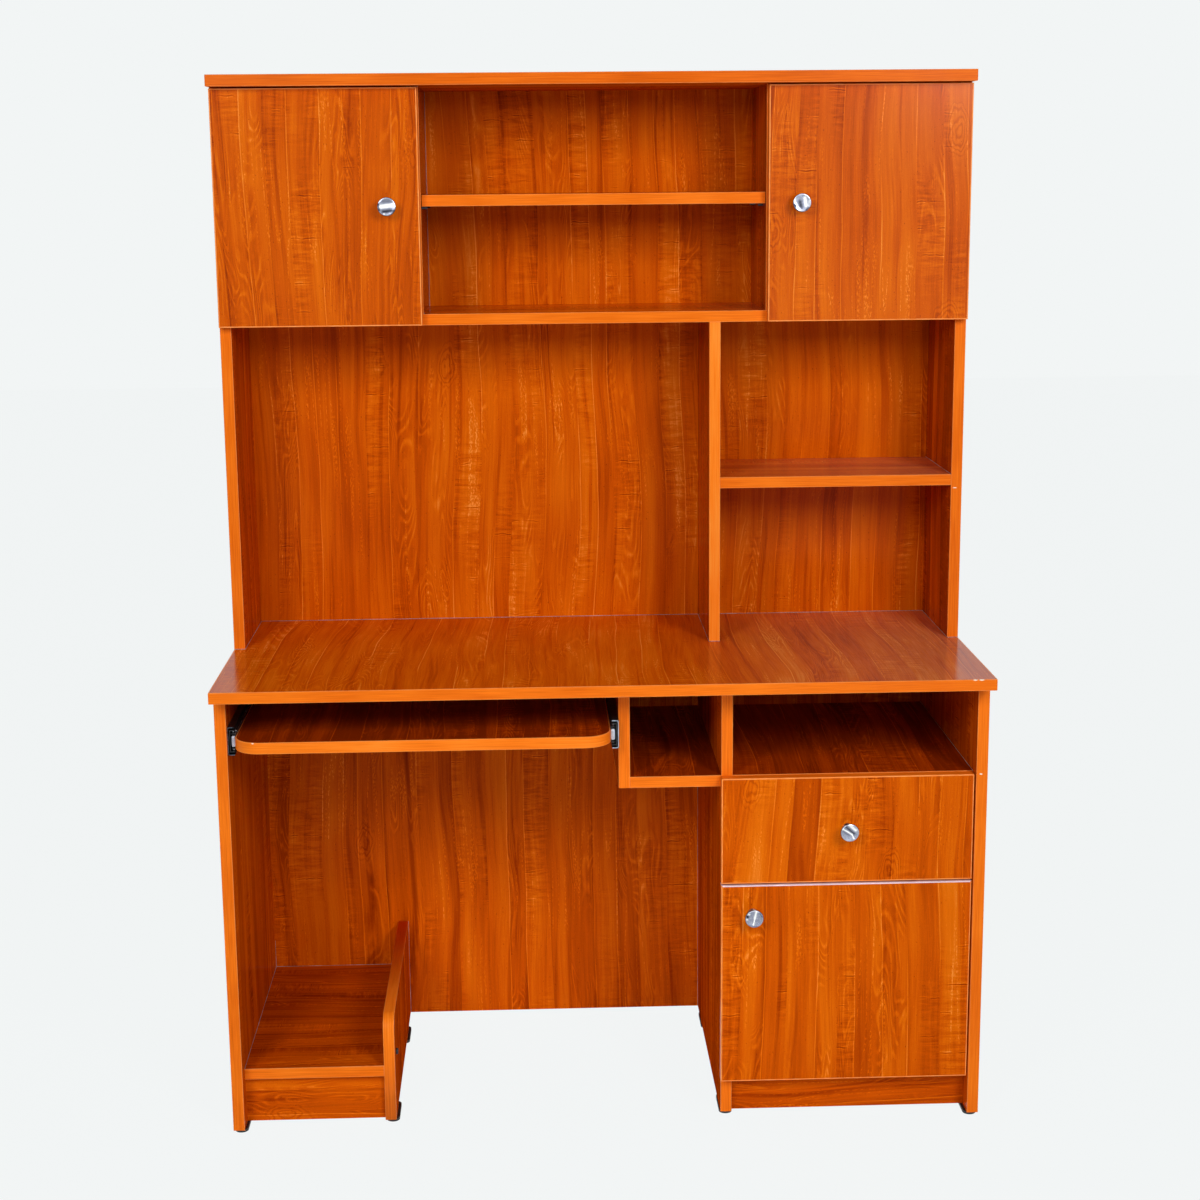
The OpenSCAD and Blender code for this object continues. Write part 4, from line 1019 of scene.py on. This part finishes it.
def joint_lines():
    """Beads along the corners where the boards of the desk and the hutch meet. Each runs along
    the axis on which it has two places."""
    outer_l, left_x, front_y = faces_at("hutch_side_left", "-x +x -y")
    right_x, outer_r = faces_at("hutch_side_right", "-x +x")
    [back_y], [top_z] = faces_at("hutch_back_panel", "-y"), faces_at("hutch_top", "-z")
    [work_z], [low_z] = faces_at("worktop", "+z"), faces_at("lower_back_panel", "-z")
    [shelf_z], [cab_z] = faces_at("hutch_shelf", "+z"), faces_at("cabinet_floor", "+z")
    div_l, div_r = faces_at("hutch_divider", "-x +x")
    ped_y, ped_z = faces_at("pedestal_shelf", "-y +z")
    part_l, part_x = faces_at("cabinet_partition_left", "-x +x")
    mid_lo, mid_hi = faces_at("middle_shelf", "-z +z")
    cpu_y, cpu_z = faces_at("cpu_shelf", "-y +z")
    low_x, low_r, low_top = faces_at("cpu_divider", "-x +x +z")
    foot_l, corner_h, knee_top = 0.03, 0.05, 0.554
    east, west, front, up, down = (1, 0, 0), (-1, 0, 0), (0, -1, 0), (0, 0, 1), (0, 0, -1)
    body = body_of_node("worktop")
    for name, x, y, z, ways in (
        ("back_left_bay", (left_x, div_l), back_y, work_z, (front, up)),
        ("back_right_bay", (div_r, right_x), back_y, work_z, (front, up)),
        ("side_left", left_x, (front_y, back_y), work_z, (east, up)),
        ("divider_left", div_l, (front_y, back_y), work_z, (west, up)),
        ("side_right", right_x, (front_y, back_y), work_z, (west, up)),
        ("foot_left", (outer_l, left_x), front_y, work_z, (front, up)),
        ("foot_divider", (div_l, div_r), front_y, work_z, (front, up)),
        ("foot_right", (right_x, outer_r), front_y, work_z, (front, up)),
        ("shelf_right", right_x, (front_y, back_y), shelf_z, (west, up)),
        ("pedestal_shelf", right_x, (ped_y, back_y), ped_z, (west, up)),
        ("partition_low", part_x, back_y, (cab_z, mid_lo), (east, front)),
        ("partition_high", part_x, back_y, (mid_hi, top_z), (east, front)),
        ("partition_foot", part_x, (front_y, front_y + foot_l), cab_z, (east, up)),
        ("partition_head", (part_l, part_x), front_y, top_z, (front, down)),
        ("cpu_side", left_x, (cpu_y, back_y), cpu_z, (east, up)),
        ("cpu_back", (left_x, low_x), back_y, cpu_z, (front, up)),
        ("cpu_corner", left_x, back_y, (cpu_z, cpu_z + corner_h), (east, front)),
        ("cpu_divider", low_r, back_y, (low_z, low_top), (east, front)),
        ("knee_corner", div_l, back_y, (low_z, knee_top), (west, front)),
    ):
        start, end = np.array([np.broadcast_to(v, 2) for v in (x, y, z)]).T
        bead("line_" + name, start, end, ways, body)


def c_rim(node, name, open_sign, finish):
    """Cut front rim of a slide's outer member: a flat section carried round the member's C, from
    one flange's tip round two rounded corners to the other's."""
    lo, hi = corners(node)
    wall, mouth = (lo[0], hi[0]) if open_sign > 0 else (hi[0], lo[0])
    tip = abs(mouth - wall) - SLIDE_CORNER

    def c_path(inset):
        """The C in X and Z, moved inwards by inset."""
        top, foot, r = hi[2] - SLIDE_CORNER, lo[2] + SLIDE_CORNER, SLIDE_CORNER - inset
        return np.vstack([
            [[tip, hi[2] - inset]], arc_points(0.0, top, r, 90, 180, 7),
            arc_points(0.0, foot, r, 180, 270, 7), [[tip, lo[2] + inset]],
        ])

    outer, inner = c_path(0.0), c_path(SLIDE_RIM)
    near, far = SLIDE_RIM_Y
    rings = np.empty((len(outer), 4, 3))
    for k, (path, y) in enumerate(((outer, near), (inner, near), (inner, far), (outer, far))):
        rings[:, k, 0] = wall + open_sign * (path[:, 0] + SLIDE_CORNER)
        rings[:, k, 1] = lo[1] + y
        rings[:, k, 2] = path[:, 1]
    points, faces = skin(rings)
    fitting(name, points, faces, finish, body_of_node(node))


def pill(name, lo, hi, body, finish, power=0.4):
    """Rounded block: the superellipsoid whose point at (a, b) is the half sizes times
    (c(a) c(b), c(a) s(b), s(a)), where c and s are the cosine and the sine raised to power."""
    lo, hi = np.array(lo), np.array(hi)
    a = np.linspace(-1.5, 1.5, 17)[:, None]
    b = np.linspace(0, 2 * math.pi, 32, endpoint=False)[None, :]
    waves = (np.cos(a), np.sin(a), np.cos(b), np.sin(b))
    ca, sa, cb, sb = (np.sign(v) * np.abs(v) ** power for v in waves)
    unit = np.stack([ca * cb, ca * sb, sa + 0 * b], axis=2)
    points, faces = skin((lo + hi) / 2 + unit * (hi - lo) / 2)
    fitting(name, points, faces, finish, body, smooth=True)


def slide_ends():
    """What shows of the tray's slides from the front: the outer members' cut rims, and on the
    inner members the pale bumpers, the bright top edge and one rivet."""
    body = body_of_node("tray_slide_inner_left")
    # the left rim takes the darker copy of the cut edge, painted shade where it lies in shadow
    for side, sign, rim in (("left", 1, "dull_steel_and_painted_shade"), ("right", -1, "slide_cut_edge")):
        c_rim(f"tray_slide_outer_{side}", f"tray_slide_rim_{side}", sign, rim)
        lo, hi = corners(f"tray_slide_inner_{side}")
        right = hi[0] - BUMPER_IN_RIGHT * (side == "left")
        ends = zip((lo[0] + BUMPER_IN, right), BUMPER_Y, BUMPER_Z)
        near, far = ((x, lo[1] + y, z) for x, y, z in ends)
        pill(f"tray_slide_bumper_{side}", near, far, body, "slide_bumper")
    lo, hi = corners("tray_slide_inner_left")
    start = np.array([hi[0] - TOP_EDGE_IN, lo[1], hi[2]])
    bead(
        "tray_slide_top_edge", start, start + [0.0, TOP_EDGE_L, 0.0], ((-1, 0, 0), (0, 0, 1)),
        body, "plated_fittings",
    )
    rivet_lo, rivet_hi = ((lo[0] + x, y, hi[2] + z) for x, y, z in zip(RIVET_X, RIVET_Y, RIVET_Z))
    pill("tray_slide_rivet", rivet_lo, rivet_hi, body, "plated_fittings")


def dress_nodes():
    """Gives their finishes to the CAD nodes that stay."""
    for start, finish in DRESSED.items():
        for node, piece in frame["nodes"].items():
            if node.startswith(start):
                piece.data.materials.clear()
                piece.data.materials.append(FINISHES[finish])


def show_background(n, share, lit, seen, output):
    """Sends the lit shader to the output, and the seen one by its share to the rays that show a
    background: the camera's, reflected ones and those through glass."""
    path = n.add("ShaderNodeLightPath")
    mirrored = n.math("MAXIMUM", path.outputs["Is Glossy Ray"], path.outputs["Is Transmission Ray"])
    shown = n.math("MAXIMUM", path.outputs["Is Camera Ray"], mirrored)
    inputs = {0: n.times(shown, share), 1: lit.outputs[0], 2: seen.outputs[0]}
    mix = n.add("ShaderNodeMixShader", inputs)
    n.put(n.tree.nodes[output].inputs["Surface"], mix.outputs[0])


def floor_paper():
    """Floor finish: it shows mostly the backdrop's own colour, with a little of the shadow."""
    material, n, shader = finish_material("floor_paper", rough=0.9)
    shader.inputs["Base Color"].default_value = linear(BACKGROUND)
    glow = n.add("ShaderNodeEmission", {"Color": linear(BACKGROUND), "Strength": FLOOR_GLOW})
    show_background(n, FLOOR_SHARE, shader, glow, "Material Output")
    return material


def studio():
    """Pale floor and room, and the lamps."""
    corner = np.array([[-1.0, -1.0], [1.0, -1.0], [1.0, 1.0], [-1.0, 1.0]]) * FLOOR_REACH
    corner = np.column_stack([corner, np.full(4, FLOOR_Z)])
    add_piece("floor", corner, [[0, 1, 2, 3]], None, (floor_paper(),))
    world = bpy.data.worlds.new("studio")
    bpy.context.scene.world = world
    world.use_nodes = True
    n = Nodes(world.node_tree)
    seen = n.add("ShaderNodeBackground", {"Color": linear(BACKGROUND), "Strength": 1.0})
    lit = world.node_tree.nodes["Background"]
    lit.inputs["Color"].default_value = (1.0, 1.0, 1.0, 1.0)
    lit.inputs["Strength"].default_value = ROOM_LIGHT
    show_background(n, 1.0, lit, seen, "World Output")
    for name, values in LAMPS.items():
        lamp(name, *values)


def lamp(name, at, aim, size, power, beam=180.0):
    """Flat lamp whose face looks from its place towards its aim."""
    data = bpy.data.lights.new(name, "AREA")
    data.spread = math.radians(beam)
    data.shape = "RECTANGLE"
    data.size, data.size_y = size
    data.energy = power
    way = np.array(aim) - np.array(at)
    way = way / np.linalg.norm(way)
    side = np.cross(way, [0.0, 0.0, 1.0])
    side = side / np.linalg.norm(side)
    set_up(name, data, at, side, np.cross(side, way), -way).visible_camera = False


photo_camera()
WOODGRAIN = woodgrain_group()
LAMINATES = {
    sheen: laminate_material(WOODGRAIN, sheen)
    for sheen in sorted({sheen for *_, sheen in BOARDS.values()})
}
BAND_FINISH = band_material(chips_group())
KNOB_STEEL = knob_material()
FINISHES = {name: speckled_material(name, *values) for name, values in SPECKLED.items()}

all_boards()
for name, strokes in KNOB_STROKES.items():
    knob(name, strokes)
hole_shade_disc()
joint_lines()
slide_ends()
dress_nodes()
studio()

bpy.context.scene.view_settings.view_transform = "Standard"
bpy.context.view_layer.update()
